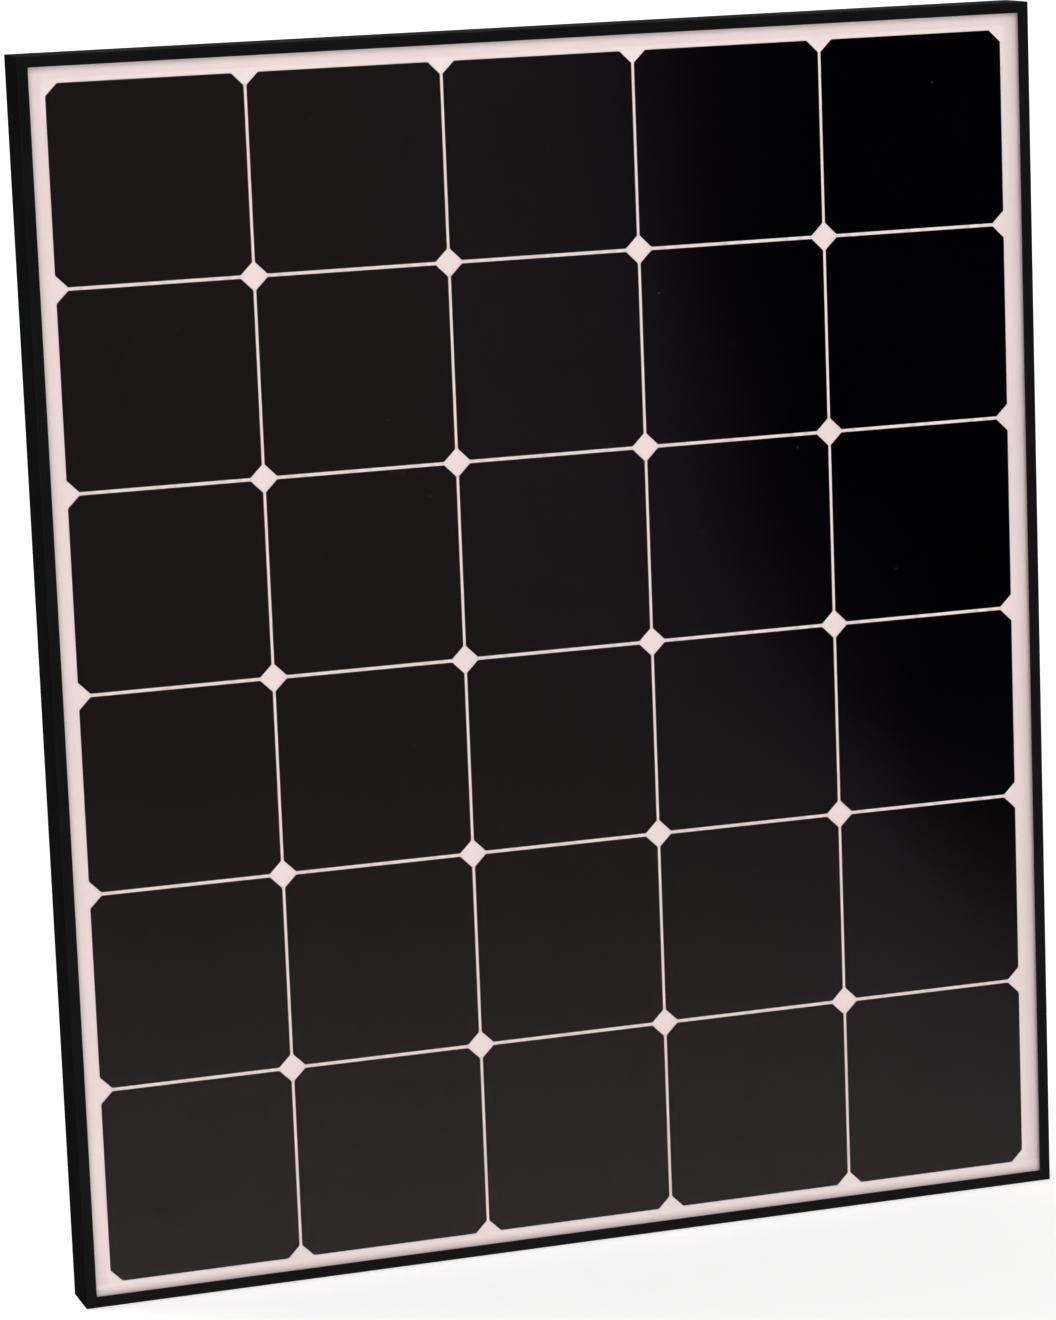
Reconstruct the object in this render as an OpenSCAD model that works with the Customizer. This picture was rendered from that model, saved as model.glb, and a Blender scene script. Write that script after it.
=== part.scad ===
// Framed photovoltaic module of back-contact cells, with a hinged junction box on its rear.
// X runs across the module, Z runs up it, and the glass faces -Y. The rear flanges lie on Y = 0,
// and the origin is the centre of their four mounting holes.

/* [Cells] */
// Side of one square cell
cell_w = 125; // [100:0.5:166]
// Straight cut across each corner of a cell, measured along the side
cell_cut = 7.7; // [2:0.1:20]
// Gap between neighbouring strings
gap_x = 1.8; // [1:0.1:5]
// Gap between neighbouring cells of one string
gap_z = 2.1; // [1.5:0.1:5]
// Cells in each string
rows = 6; // [3:1:10]
// Clear glass between the outer strings and the frame's lip
side_margin = 10.9; // [8:0.1:40]
// Clear glass above the top cells
top_margin = 10.5; // [7:0.1:40]
// Clear glass below the bottom cells
bottom_margin = 7; // [7:0.1:40]

/* [Laminate] */
// Thickness of the front glass
glass_t = 3.2; // [2:0.1:5]
// Thickness of the encapsulant between glass and cells
front_film_t = 0.4; // [0.2:0.05:1]
// Thickness of a cell
cell_t = 0.18; // [0.12:0.01:0.4]
// Thickness of the white masks and of the interconnects behind the cells
mask_t = 0.15; // [0.1:0.01:0.4]
// Thickness of the bus ribbons
ribbon_t = 0.25; // [0.15:0.01:0.5]
// Thickness of the encapsulant behind the ribbons
rear_film_t = 0.35; // [0.3:0.01:1]
// Thickness of the backsheet
backsheet_t = 0.3; // [0.2:0.05:1]

/* [Frame] */
// Depth of the frame from its front face to its rear flanges
frame_d = 35; // [34:0.5:50]
// Wall of the extruded rails
wall_t = 1.6; // [1.2:0.1:2.5]
// Reach of the front lip, from the rail's outer face
lip_w = 7; // [5.5:0.1:14]
// Thickness of the front lip
lip_t = 1.6; // [1:0.1:2.5]
// Reach of the shelf behind the laminate
shelf_w = 11; // [10:0.5:16]
// Distance from the rear face to the hollow chamber of a rail
chamber_v = 13.4; // [8:0.1:16]
// Reach of the rear flange
flange_w = 25; // [20:0.5:32]
// Thickness of the rear flange
flange_t = 1.6; // [1:0.1:3]
// Gap between the edge of the laminate and the rail's wall
edge_gap = 1; // [0.5:0.1:1.8]
// Thickness of the seal in front of and behind the laminate
seal_t = 0.5; // [0.3:0.05:1.5]
// Distance that the seal stays back from the edges of the lip and the shelf
seal_back = 0.6; // [0.2:0.1:1.5]
// Leg length of a corner key
key_leg = 38; // [20:1:60]
// Clearance of a corner key in its chamber, on each side
key_gap = 0.15; // [0.05:0.01:0.4]

/* [Frame holes] */
// Diameter of the mounting holes, for an M6 screw
mount_hole_d = 7; // [5:0.5:9]
// Distance between the mounting holes of one rail
mount_spacing = 420; // [120:1:600]
// Distance from a rail's outer face to its holes
hole_u = 14; // [10:0.5:17]
// Diameter of the earthing holes
earth_hole_d = 4.2; // [3:0.1:6]
// Diameter of the drain holes
drain_hole_d = 4; // [2:0.5:6]
// Distance from the corner of the frame to a drain hole
drain_inset = 70; // [45:1:150]

/* [Ribbons] */
// Distance between the soldering pads along a cell's side
pad_pitch = 42; // [30:1:48]
// Width of an interconnect at its ends
bone_w = 12; // [6:0.5:16]
// Width of an interconnect at its waist
bone_waist = 7; // [4:0.5:8]
// Reach of an interconnect over each cell
bone_reach = 2.6; // [1.5:0.1:5]
// Width of a bus ribbon
bus_w = 5; // [3:0.5:6]
// Distance from the end of the cells to the near edge of a bus ribbon
bus_inset = 13; // [4:0.5:14]
// Distance that the white cover strips reach behind the end cells
cover_in = 22; // [20:0.5:26]
// Distance that the white cover strips reach past the end cells
cover_out = 3; // [1:0.5:6]
// Width of the tabs from the end cells to the bus ribbons
tab_w = 8; // [4:0.5:10]
// Length of a tab's pad on its cell
tab_pad = 4.5; // [2:0.5:8]
// Width of the insulation under the collector ribbons
insulation_w = 11; // [8:0.5:14]

/* [Junction box] */
// Width of the junction box
box_w = 110; // [104:1:160]
// Height of the junction box
box_h = 92; // [88:1:140]
// Distance from the rear plane to the lid's outer face
box_rear_gap = 4.8; // [3:0.1:8]
// Wall of the junction box
box_wall = 2; // [1.5:0.1:3]
// Outer corner radius of the junction box
box_r = 4; // [3:0.5:10]
// Thickness of the adhesive under the junction box
adhesive_t = 0.8; // [0.4:0.1:2]
// Room above the box for its hinge and the lid's swing
hinge_room = 11; // [9:0.5:20]
// Distance from the box's upper wall to the leads
lead_inset = 14; // [12:0.5:20]
// Distance between neighbouring leads and terminals
lead_pitch = 30; // [28:0.5:32]
// Thickness of a lead
lead_t = 0.3; // [0.2:0.05:0.5]

/* [Lid] */
// Thickness of the lid
lid_t = 2.4; // [1.6:0.1:4]
// Gap between the lid and the box's rim, which the lid seal fills
rim_gap = 1.03; // [0.8:0.01:2]
// Clearance between the closed lid and its seal
seal_gap = 0.28; // [0.1:0.01:0.5]
// Width of the lid seal
lid_seal_w = 1.4; // [0.8:0.1:1.5]
// Depth of the rib that fits inside the rim
tongue_d = 2.5; // [1:0.1:4]
// Clearance around that rib
tongue_gap = 1.3; // [0.5:0.1:2.5]
// Diameter of the hinge pin
pin_d = 2.4; // [1.5:0.1:3]
// Radial clearance of the pin in the lid's knuckles
pin_run = 0.05; // [0.02:0.01:0.1]
// Radial clearance of the pin in the box's knuckles
pin_hold = 0.02; // [0.01:0.01:0.1]
// Outer diameter of a hinge knuckle
knuckle_d = 5.2; // [4.6:0.1:6.4]
// Length of a hinge knuckle
knuckle_w = 12; // [6:0.5:14]
// Gap between neighbouring knuckles
knuckle_gap = 0.3; // [0.2:0.05:1]
// Distance from the middle of the box to the joint between two knuckles
knuckle_x = 28; // [16:0.5:34]
// Width of a latch tab
latch_w = 14; // [8:0.5:18]
// Distance from the middle of the box to each latch
latch_x = 12.5; // [11:0.5:14]
// Clearance between a latch tab and its catch
latch_gap = 0.3; // [0.2:0.05:1]

/* [Terminals] */
// Width of a terminal plate
plate_w = 16; // [12:0.5:17]
// Height of a terminal plate
plate_h = 32; // [28:0.5:40]
// Thickness of a terminal plate
plate_t = 1.2; // [0.8:0.1:2]
// Thickness of the terminal carrier
carrier_t = 5; // [4.6:0.1:6]
// Diameter of a bypass diode's body
diode_d = 9; // [5:0.1:9.2]
// Length of a bypass diode's body
diode_l = 9; // [5:0.1:10]
// Diameter of a bypass diode's wire
diode_wire_d = 1.2; // [0.8:0.1:1.4]
// Shank diameter of the cable clamp screws
clamp_screw_d = 4; // [3:0.5:4.5]
// Shank diameter of the carrier screws
carrier_screw_d = 3; // [2.5:0.1:3.2]

/* [Cable glands] */
// Thread diameter of a cable gland
gland_d = 12; // [10:0.5:13]
// Distance across the flats of a gland
gland_af = 15; // [14:0.5:16]
// Distance from the middle of the box to each gland
gland_x = 34; // [32:0.5:38]
// Bore of the gland's rubber insert
cable_bore_d = 6.2; // [4:0.1:7]
// Diameter of the pressure vent's stem
vent_d = 5; // [3:0.5:6]

/* [Label] */
// Width of the rating label
label_w = 104; // [40:1:160]
// Height of the rating label
label_h = 72; // [30:1:120]
// Thickness of the rating label
label_t = 0.12; // [0.05:0.01:0.3]
// Distance from the middle of the module up to the label's middle
label_z = 150; // [0:1:180]

/* [Hidden] */
$fn = 64;
strings = 5;
cut_over = 1;

// Overall size
pitch_x = cell_w + gap_x;
pitch_z = cell_w + gap_z;
field_w = strings * pitch_x - gap_x;
field_h = rows * pitch_z - gap_z;
panel_w = field_w + 2 * side_margin + 2 * lip_w;
panel_h = field_h + top_margin + bottom_margin + 2 * lip_w;
cells_top = panel_h / 2 - lip_w - top_margin;
cells_bottom = cells_top - field_h;

// Places along the depth, counted forwards from the rear plane
core_t = rear_film_t + ribbon_t + mask_t + cell_t;
laminate_t = backsheet_t + core_t + front_film_t + glass_t;
groove_h = laminate_t + 2 * seal_t;
shelf_v = frame_d - lip_t - groove_h;
backsheet_v = shelf_v + seal_t;
core_v = backsheet_v + backsheet_t;
ribbon_v = core_v + rear_film_t;
mask_v = ribbon_v + ribbon_t;
cell_v = mask_v + mask_t;
front_film_v = cell_v + cell_t;
glass_v = front_film_v + front_film_t;
laminate_w = panel_w - 2 * (wall_t + edge_gap);
laminate_h = panel_h - 2 * (wall_t + edge_gap);
chamber_w = shelf_w - 2 * wall_t;
chamber_floor_v = chamber_v + wall_t;
chamber_h = shelf_v - wall_t - chamber_floor_v;

// Ribbon layout: each end of a string is counted inwards from the end of the cells
tab_clear = 0.5;
tab_end = cover_in + tab_clear + tab_pad;
lead_w = bus_w;
collector_room = 7;
lead_z_free = cells_top - tab_end - collector_room - lead_w / 2;
bus_over = 2;
bone_bar = 1.8;

// Junction box
box_top = min(panel_h / 2 - flange_w - hinge_room, lead_z_free + lead_inset + box_wall);
lead_z = box_top - box_wall - lead_inset;
box_mid = box_top - box_h / 2;
box_bottom = box_top - box_h;
base_v = backsheet_v - adhesive_t;
lid_v = box_rear_gap + lid_t;
rim_v = lid_v + rim_gap;
floor_v = base_v - box_wall;
cavity_w = box_w - 2 * box_wall;
cavity_h = box_h - 2 * box_wall;
riser_z = lead_z - lead_w / 2;
window_side = 7;
window_w = 2 * (lead_pitch + window_side);
window_h = 15;
slot_gap = 0.5;
adhesive_inset = 1.5;
hinge_offset = 0.23;
axis_v = lid_v + hinge_offset;
axis_rise = 3.2;
axis_z = box_top + axis_rise;
pin_head = 0.8;
pin_head_d = 3.8;
arm_start = 0.8;
arm_depth = 8;
lid_lap = 1;
latch_t = 1.8;
latch_reach = 6;
catch_out = 0.6;
catch_rise = 2.2;
catch_t = 1.6;
catch_side = 2;
tongue_t = 1.5;
tongue_r = 2;
label_r = 2;

// Terminals
plate_drop = 8.5;
plate_top = riser_z - plate_drop;
lead_lap = 7;
plate_v = floor_v - carrier_t;
plate_rear_v = plate_v - plate_t;
carrier_mid = plate_top - plate_h / 2;
carrier_side = 6;
carrier_inset = 3;
carrier_w = 2 * lead_pitch + plate_w + 2 * carrier_side;
carrier_h = plate_h - 2 * carrier_inset;
ear_w = 6.5;
ear_h = 9;
ear_t = 3;
ear_lap = 0.5;
ear_x = carrier_w / 2 + ear_w / 2 - ear_lap;
boss_margin = 0.75;
boss_d = ear_w - 2 * boss_margin;
screw_gap = 0.05;
pilot_depth = 1.2;
diode_v = plate_rear_v - diode_wire_d / 2 - screw_gap;
diode_rise = 3;
diode_z = carrier_mid + diode_rise;
diode_gap = 0.4;
clamp_drop = 8;
clamp_z = carrier_mid - clamp_drop;
clamp_w = 12;
clamp_h = 9;
clamp_t = 1.5;
screw_head_t = 2.4;
head_ratio = 1.8;
slot_l_ratio = 1.3;
slot_w_ratio = 0.25;
pilot_clear = 0.3;
tip_clear = 0.5;

// Cable glands, measured outwards from the box's lower wall
gland_forward = 0.7;
gland_v = (rim_v + floor_v) / 2 + gland_forward;
gland_in = 8;
gland_hex = 5;
gland_neck = 10;
gland_gap = 0.1;
cable_clear = 0.4;
cable_path_d = cable_bore_d + 2 * cable_clear;
insert_wall = 1.5;
insert_d = cable_bore_d + 2 * insert_wall;
cap_gap = 0.4;
cap_start = gland_hex + cap_gap;
cap_hex = 8.6;
cap_end = 19;
cap_bevel = 2.5;
locknut_t = 2.5;
vent_flange_d = 8;
vent_flange_t = 2;
vent_barb_d = 6.4;
vent_in = 1.6;
vent_barb_t = 1.5;

aluminium_black = "#17171a";
tinned = "#b9bcbd";
white_film = "#f1e9e6";
black_plastic = "#1d1e20";

// Centre of string i, and of the row j from the top
function string_x(i) = (i - (strings - 1) / 2) * pitch_x;
function row_z(j) = cells_top - cell_w / 2 - j * pitch_z;

// Slab over a flat X-Z outline, whose rear face lies v in front of the rear plane
module slab(v, t) {
    translate([0, -v, 0]) rotate([90, 0, 0]) linear_extrude(t) children();
}

// Rectangle between two corners in X-Z
module patch(x0, z0, x1, z1) {
    translate([x0, z0]) square([x1 - x0, z1 - z0]);
}

module rounded_patch(w, h, r) {
    square([w - 2 * r, h], center = true);
    square([w, h - 2 * r], center = true);
    for (x = [-1, 1], z = [-1, 1])
        translate([x * (w / 2 - r), z * (h / 2 - r)]) circle(r);
}

// Cylinder along the depth at x, z, from v0 forwards to v1
module depth_rod(x, z, d, v0, v1) {
    translate([x, -v0, z]) rotate([90, 0, 0]) cylinder(d = d, h = v1 - v0);
}

// Frame

// Section of a rail: u runs inwards from its outer face, and v forwards from its rear face
module rail_section() {
    front_v = frame_d - lip_t;
    difference() {
        polygon([[0, 0], [flange_w, 0], [flange_w, flange_t], [wall_t, flange_t],
            [wall_t, chamber_v], [shelf_w, chamber_v], [shelf_w, shelf_v], [wall_t, shelf_v],
            [wall_t, front_v], [lip_w, front_v], [lip_w, frame_d], [0, frame_d]]);
        translate([wall_t, chamber_floor_v]) square([chamber_w, chamber_h]);
    }
}

// Rail of outer length len, mitred at both ends, with flange holes given as [place, diameter]
module rail(len, holes) {
    end = len / 2;
    reach = flange_w + cut_over;
    difference() {
        intersection() {
            linear_extrude(len, center = true) rail_section();
            translate([0, frame_d + cut_over, 0]) rotate([90, 0, 0])
                linear_extrude(frame_d + 2 * cut_over)
                    polygon([[0, -end], [reach, reach - end], [reach, end - reach], [0, end]]);
        }
        for (hole = holes)
            translate([hole_u, -cut_over, hole[0]]) rotate([-90, 0, 0])
                cylinder(d = hole[1], h = flange_t + 2 * cut_over);
    }
}

module side_rail() {
    color(aluminium_black) translate([-panel_w / 2, 0, 0]) mirror([0, 1, 0])
        rail(panel_h, [[-mount_spacing / 2, mount_hole_d], [mount_spacing / 2, mount_hole_d],
            [0, earth_hole_d]]);
}

module end_rail() {
    drain_x = panel_w / 2 - drain_inset;
    color(aluminium_black) translate([0, 0, panel_h / 2]) rotate([0, 90, 0])
        mirror([0, 1, 0])
            rail(panel_w, [[-drain_x, drain_hole_d], [drain_x, drain_hole_d]]);
}

module frame_rail_left() { side_rail(); }
module frame_rail_right() { mirror([1, 0, 0]) side_rail(); }
module frame_rail_top() { end_rail(); }
module frame_rail_bottom() { mirror([0, 0, 1]) end_rail(); }

// Angle that joins two rails inside their chambers, at the lower left corner
module corner_key() {
    leg_w = chamber_w - 2 * key_gap;
    corner = wall_t + key_gap;
    color("#8d9093") slab(chamber_floor_v + key_gap, chamber_h - 2 * key_gap)
        translate([corner - panel_w / 2, corner - panel_h / 2]) {
            square([key_leg, leg_w]);
            square([leg_w, key_leg]);
        }
}

module corner_key_top_left() { mirror([0, 0, 1]) corner_key(); }
module corner_key_top_right() { mirror([1, 0, 0]) mirror([0, 0, 1]) corner_key(); }
module corner_key_bottom_left() { corner_key(); }
module corner_key_bottom_right() { mirror([1, 0, 0]) corner_key(); }

// Ring of the groove, inwards from the rails' walls to a reach from the frame's outer faces
module groove_ring(v, t, reach) {
    slab(v, t) difference() {
        square([panel_w - 2 * wall_t, panel_h - 2 * wall_t], center = true);
        square([panel_w - 2 * reach, panel_h - 2 * reach], center = true);
    }
}

module edge_seal() {
    color("#242526") {
        groove_ring(shelf_v, seal_t, shelf_w - seal_back);
        groove_ring(shelf_v, groove_h, wall_t + edge_gap);
        groove_ring(shelf_v + groove_h - seal_t, seal_t, lip_w - seal_back);
    }
}

// Laminate

module laminate_sheet(v, t) {
    slab(v, t) square([laminate_w, laminate_h], center = true);
}

module front_glass() { color("#cfe0dc", 0.3) laminate_sheet(glass_v, glass_t); }
module front_encapsulant() { color("#e8eceb", 0.3) laminate_sheet(front_film_v, front_film_t); }

module cell_outline() {
    a = cell_w / 2;
    b = a - cell_cut;
    polygon([[a, b], [b, a], [-b, a], [-a, b], [-a, -b], [-b, -a], [b, -a], [a, -b]]);
}

module string_outline(i) {
    for (j = [0 : rows - 1]) translate([string_x(i), row_z(j)]) cell_outline();
}

module cell_string(i) { color("#15121a") slab(cell_v, cell_t) string_outline(i); }

// Interconnect that bridges the gap between two cells, with wide ends on their pads
module bone_outline() {
    reach = gap_z / 2 + bone_reach;
    square([bone_waist, 2 * reach], center = true);
    for (end = [-1, 1])
        translate([0, end * (reach - bone_bar / 2)]) square([bone_w, bone_bar], center = true);
}

module interconnect_outlines() {
    for (i = [0 : strings - 1], j = [0 : rows - 2], p = [-1 : 1])
        translate([string_x(i) + p * pad_pitch, row_z(j) - pitch_z / 2]) bone_outline();
}

// Runs children at the top end of the cells, or mirrored at their bottom end
module at_end(top) {
    if (top) translate([0, cells_top]) children();
    else translate([0, cells_bottom]) mirror([0, 1]) children();
}

// Tabs of all strings between two distances from the end of the cells
module tab_outlines(near, far) {
    for (top = [true, false], i = [0 : strings - 1], p = [-1 : 1])
        at_end(top) translate([string_x(i) + p * pad_pitch, 0])
            patch(-tab_w / 2, -far, tab_w / 2, -near);
}

module tab_pads() { tab_outlines(tab_end - tab_pad, tab_end); }
module tab_bodies() { tab_outlines(bus_inset + bus_w, tab_end); }

// Bus ribbon from the first tab of string a to the last tab of string b
module bus_outline(top, a, b) {
    over = pad_pitch + tab_w / 2 + bus_over;
    at_end(top)
        patch(string_x(a) - over, -bus_inset - bus_w, string_x(b) + over, -bus_inset);
}

module top_bus_outlines() {
    bus_outline(true, 0, 1);
    bus_outline(true, 2, 3);
    bus_outline(true, 4, 4);
}

module bottom_bus_outlines() {
    bus_outline(false, 0, 0);
    bus_outline(false, 1, 2);
    bus_outline(false, 3, 4);
}

// Ribbons of width w that carry the two ends and the middle of the circuit to the leads
module left_run(w, start) {
    x = string_x(0) + pad_pitch / 2;
    patch(x - w / 2, cells_bottom + start, x + w / 2, lead_z + w / 2);
    patch(x - w / 2, lead_z - w / 2, w / 2 - lead_pitch, lead_z + w / 2);
}

module centre_run(w) {
    patch(-w / 2, lead_z - w / 2, w / 2, cells_top - tab_end);
}

module right_run(w, start) {
    x = string_x(strings - 1) - pad_pitch / 2;
    patch(x - w / 2, lead_z - w / 2, x + w / 2, cells_top - start);
    patch(lead_pitch - w / 2, lead_z - w / 2, x + w / 2, lead_z + w / 2);
}

module insulation_outlines() {
    left_run(insulation_w, cover_in);
    centre_run(insulation_w);
    right_run(insulation_w, cover_in);
}

module cover_outline(top) {
    at_end(top) patch(-field_w / 2 - cover_out, -cover_in, field_w / 2 + cover_out, cover_out);
}

module cell_interconnects() { color(tinned) slab(mask_v, mask_t) interconnect_outlines(); }

module string_end_tabs() {
    color(tinned) {
        slab(mask_v, mask_t) tab_pads();
        slab(ribbon_v, ribbon_t) tab_bodies();
    }
}

module bus_ribbons_top() { color(tinned) slab(ribbon_v, ribbon_t) top_bus_outlines(); }
module bus_ribbons_bottom() { color(tinned) slab(ribbon_v, ribbon_t) bottom_bus_outlines(); }

module collector_ribbon_left() {
    color(tinned) slab(ribbon_v, ribbon_t) left_run(lead_w, bus_inset + bus_w);
}

module collector_ribbon_centre() {
    color(tinned) slab(ribbon_v, ribbon_t) centre_run(lead_w);
}

module collector_ribbon_right() {
    color(tinned) slab(ribbon_v, ribbon_t) right_run(lead_w, bus_inset + bus_w);
}

module ribbon_insulation() { color(white_film) slab(mask_v, mask_t) insulation_outlines(); }
module cover_strip_top() { color(white_film) slab(mask_v, mask_t) cover_outline(true); }
module cover_strip_bottom() { color(white_film) slab(mask_v, mask_t) cover_outline(false); }

// Slots that let the three leads through to the junction box
module lead_slots() {
    for (p = [-1 : 1])
        patch(p * lead_pitch - lead_w / 2 - slot_gap, riser_z - lead_t - slot_gap,
            p * lead_pitch + lead_w / 2 + slot_gap, riser_z + slot_gap);
}

module lead_feet() {
    for (p = [-1 : 1])
        patch(p * lead_pitch - lead_w / 2, riser_z, p * lead_pitch + lead_w / 2, lead_z + lead_w / 2);
}

// One layer of the encapsulant around whatever is laid in it
module core_layer(v, t) {
    slab(v, t) difference() {
        square([laminate_w, laminate_h], center = true);
        children();
    }
}

// The encapsulant that the cells, masks and ribbons are bedded in
module rear_encapsulant() {
    foot_v = ribbon_v - lead_t;
    color("#e6e9ea", 0.4) {
        core_layer(cell_v, cell_t) for (i = [0 : strings - 1]) string_outline(i);
        core_layer(mask_v, mask_t) {
            interconnect_outlines();
            tab_pads();
            insulation_outlines();
            cover_outline(true);
            cover_outline(false);
        }
        core_layer(ribbon_v, ribbon_t) {
            tab_bodies();
            top_bus_outlines();
            bottom_bus_outlines();
            left_run(lead_w, bus_inset + bus_w);
            centre_run(lead_w);
            right_run(lead_w, bus_inset + bus_w);
        }
        core_layer(foot_v, lead_t) {
            lead_slots();
            lead_feet();
        }
        core_layer(core_v, foot_v - core_v) lead_slots();
    }
}

module backsheet() {
    color(white_film) slab(backsheet_v, backsheet_t) difference() {
        square([laminate_w, laminate_h], center = true);
        lead_slots();
    }
}

module rating_label() {
    color("#d9dadb") slab(backsheet_v - label_t, label_t)
        translate([0, label_z]) rounded_patch(label_w, label_h, label_r);
}

// Junction box

// Ribbon from a collector's end, through the backsheet and over the terminal plate
module lead(p) {
    x0 = p * lead_pitch - lead_w / 2;
    x1 = x0 + lead_w;
    color(tinned) {
        slab(ribbon_v - lead_t, lead_t) patch(x0, riser_z - lead_t, x1, lead_z + lead_w / 2);
        slab(plate_rear_v - lead_t, ribbon_v - plate_rear_v + lead_t)
            patch(x0, riser_z - lead_t, x1, riser_z);
        slab(plate_rear_v - lead_t, lead_t) patch(x0, plate_top - lead_lap, x1, riser_z);
    }
}

module box_plan(w, h, r) { translate([0, box_mid]) rounded_patch(w, h, r); }

module window_outline() {
    translate([0, riser_z]) square([window_w, window_h], center = true);
}

module box_adhesive() {
    color("#d8d8d4") slab(base_v, adhesive_t) difference() {
        box_plan(box_w - 2 * adhesive_inset, box_h - 2 * adhesive_inset, box_r);
        window_outline();
    }
}

// Part of the hinge from x0 to x1: a knuckle and the arm that carries it, to z_low and v_deep
module knuckle(x0, x1, z_low, v_near, v_deep, bore) {
    difference() {
        union() {
            translate([x0, -axis_v, axis_z]) rotate([0, 90, 0]) cylinder(d = knuckle_d, h = x1 - x0);
            slab(v_near, v_deep - v_near) patch(x0, z_low, x1, axis_z);
        }
        translate([x0 - cut_over, -axis_v, axis_z]) rotate([0, 90, 0])
            cylinder(d = bore, h = x1 - x0 + 2 * cut_over);
    }
}

module box_knuckles() {
    for (side = [0, 1]) mirror([side, 0, 0])
        knuckle(knuckle_x, knuckle_x + knuckle_w, box_top - box_wall / 2, axis_v + arm_start,
            axis_v + arm_depth, pin_d + 2 * pin_hold);
}

module gland_hole(x, d) {
    translate([x, -gland_v, box_bottom - cut_over])
        cylinder(d = d, h = box_wall + 2 * cut_over);
}

module box_base() {
    color(black_plastic) {
        difference() {
            slab(rim_v, base_v - rim_v) box_plan(box_w, box_h, box_r);
            slab(rim_v - cut_over, floor_v - rim_v + cut_over)
                box_plan(cavity_w, cavity_h, box_r - box_wall);
            slab(floor_v - cut_over, box_wall + 2 * cut_over) window_outline();
            for (side = [-1, 1]) {
                gland_hole(side * gland_x, gland_d);
                depth_rod(side * ear_x, carrier_mid, carrier_screw_d + 2 * screw_gap,
                    floor_v - cut_over, floor_v + pilot_depth);
            }
            gland_hole(0, vent_d + 2 * gland_gap);
        }
        for (side = [-1, 1]) {
            difference() {
                depth_rod(side * ear_x, carrier_mid, boss_d, plate_v + ear_t, floor_v);
                depth_rod(side * ear_x, carrier_mid, carrier_screw_d + 2 * screw_gap,
                    plate_v, floor_v + pilot_depth);
            }
            slab(rim_v + catch_rise, catch_t) translate([side * latch_x, box_bottom])
                square([latch_w - 2 * catch_side, 2 * catch_out], center = true);
        }
        box_knuckles();
    }
}

module lid_knuckles() {
    for (side = [0, 1]) mirror([side, 0, 0])
        knuckle(knuckle_x - knuckle_gap - knuckle_w, knuckle_x - knuckle_gap,
            box_top - lid_lap, box_rear_gap, lid_v, pin_d + 2 * pin_run);
}

module box_lid() {
    tab_z = box_bottom - catch_out - latch_gap;
    tongue_w = cavity_w - 2 * tongue_gap;
    tongue_h = cavity_h - 2 * tongue_gap;
    color(black_plastic) {
        slab(box_rear_gap, lid_t) box_plan(box_w, box_h, box_r);
        slab(lid_v, tongue_d) difference() {
            box_plan(tongue_w, tongue_h, tongue_r);
            box_plan(tongue_w - 2 * tongue_t, tongue_h - 2 * tongue_t, tongue_r / 2);
        }
        for (side = [-1, 1]) {
            slab(box_rear_gap, lid_t) translate([side * latch_x, 0])
                patch(-latch_w / 2, tab_z - latch_t, latch_w / 2, box_bottom + lid_lap);
            slab(box_rear_gap, lid_t + latch_reach) translate([side * latch_x, 0])
                patch(-latch_w / 2, tab_z - latch_t, latch_w / 2, tab_z);
        }
        lid_knuckles();
    }
}

module lid_seal() {
    edge = (box_wall - lid_seal_w) / 2;
    color("#3a3b3d") slab(lid_v + seal_gap, rim_gap - seal_gap) difference() {
        box_plan(box_w - 2 * edge, box_h - 2 * edge, box_r - edge);
        box_plan(cavity_w + 2 * edge, cavity_h + 2 * edge, box_r - box_wall + edge);
    }
}

module hinge_pin() {
    half = knuckle_x + knuckle_w;
    color("#c2c4c6") translate([0, -axis_v, axis_z]) rotate([0, 90, 0]) {
        cylinder(d = pin_d, h = 2 * half + 2 * knuckle_gap, center = true);
        for (end = [-1, 1])
            translate([0, 0, end * (half + knuckle_gap / 2 + pin_head / 2)])
                cylinder(d = pin_head_d, h = pin_head, center = true);
    }
}

// Terminals

module terminal_carrier() {
    color("#2c2d30") difference() {
        union() {
            slab(plate_v, carrier_t)
                translate([0, carrier_mid]) square([carrier_w, carrier_h], center = true);
            slab(plate_v, ear_t) for (side = [-1, 1])
                translate([side * ear_x, carrier_mid]) square([ear_w, ear_h], center = true);
        }
        for (side = [-1, 1]) {
            depth_rod(side * ear_x, carrier_mid, carrier_screw_d + 4 * screw_gap,
                plate_v - cut_over, plate_v + ear_t + cut_over);
            depth_rod(side * lead_pitch, clamp_z, clamp_screw_d + 4 * screw_gap,
                plate_v - cut_over, plate_v + carrier_t + cut_over);
            slab(plate_v - cut_over, diode_v + diode_d / 2 + diode_gap - plate_v + cut_over)
                translate([side * lead_pitch / 2, diode_z])
                    square([diode_l + 2 * diode_gap, diode_d + 2 * diode_gap], center = true);
        }
    }
}

// Pan-head screws at x = +-x and z, with the head on v_head and the tip at v_tip
module screw_pair(x, z, d, v_head, v_tip) {
    for (side = [-1, 1]) difference() {
        union() {
            depth_rod(side * x, z, d, v_head - screw_head_t / 2, v_tip);
            depth_rod(side * x, z, head_ratio * d, v_head - screw_head_t, v_head);
        }
        slab(v_head - screw_head_t - cut_over, screw_head_t / 2 + cut_over)
            translate([side * x, z])
                square([slot_l_ratio * d, slot_w_ratio * d], center = true);
    }
}

module carrier_screws() {
    color("#b4b6b8")
        screw_pair(ear_x, carrier_mid, carrier_screw_d, plate_v,
            floor_v + pilot_depth - pilot_clear);
}

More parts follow.
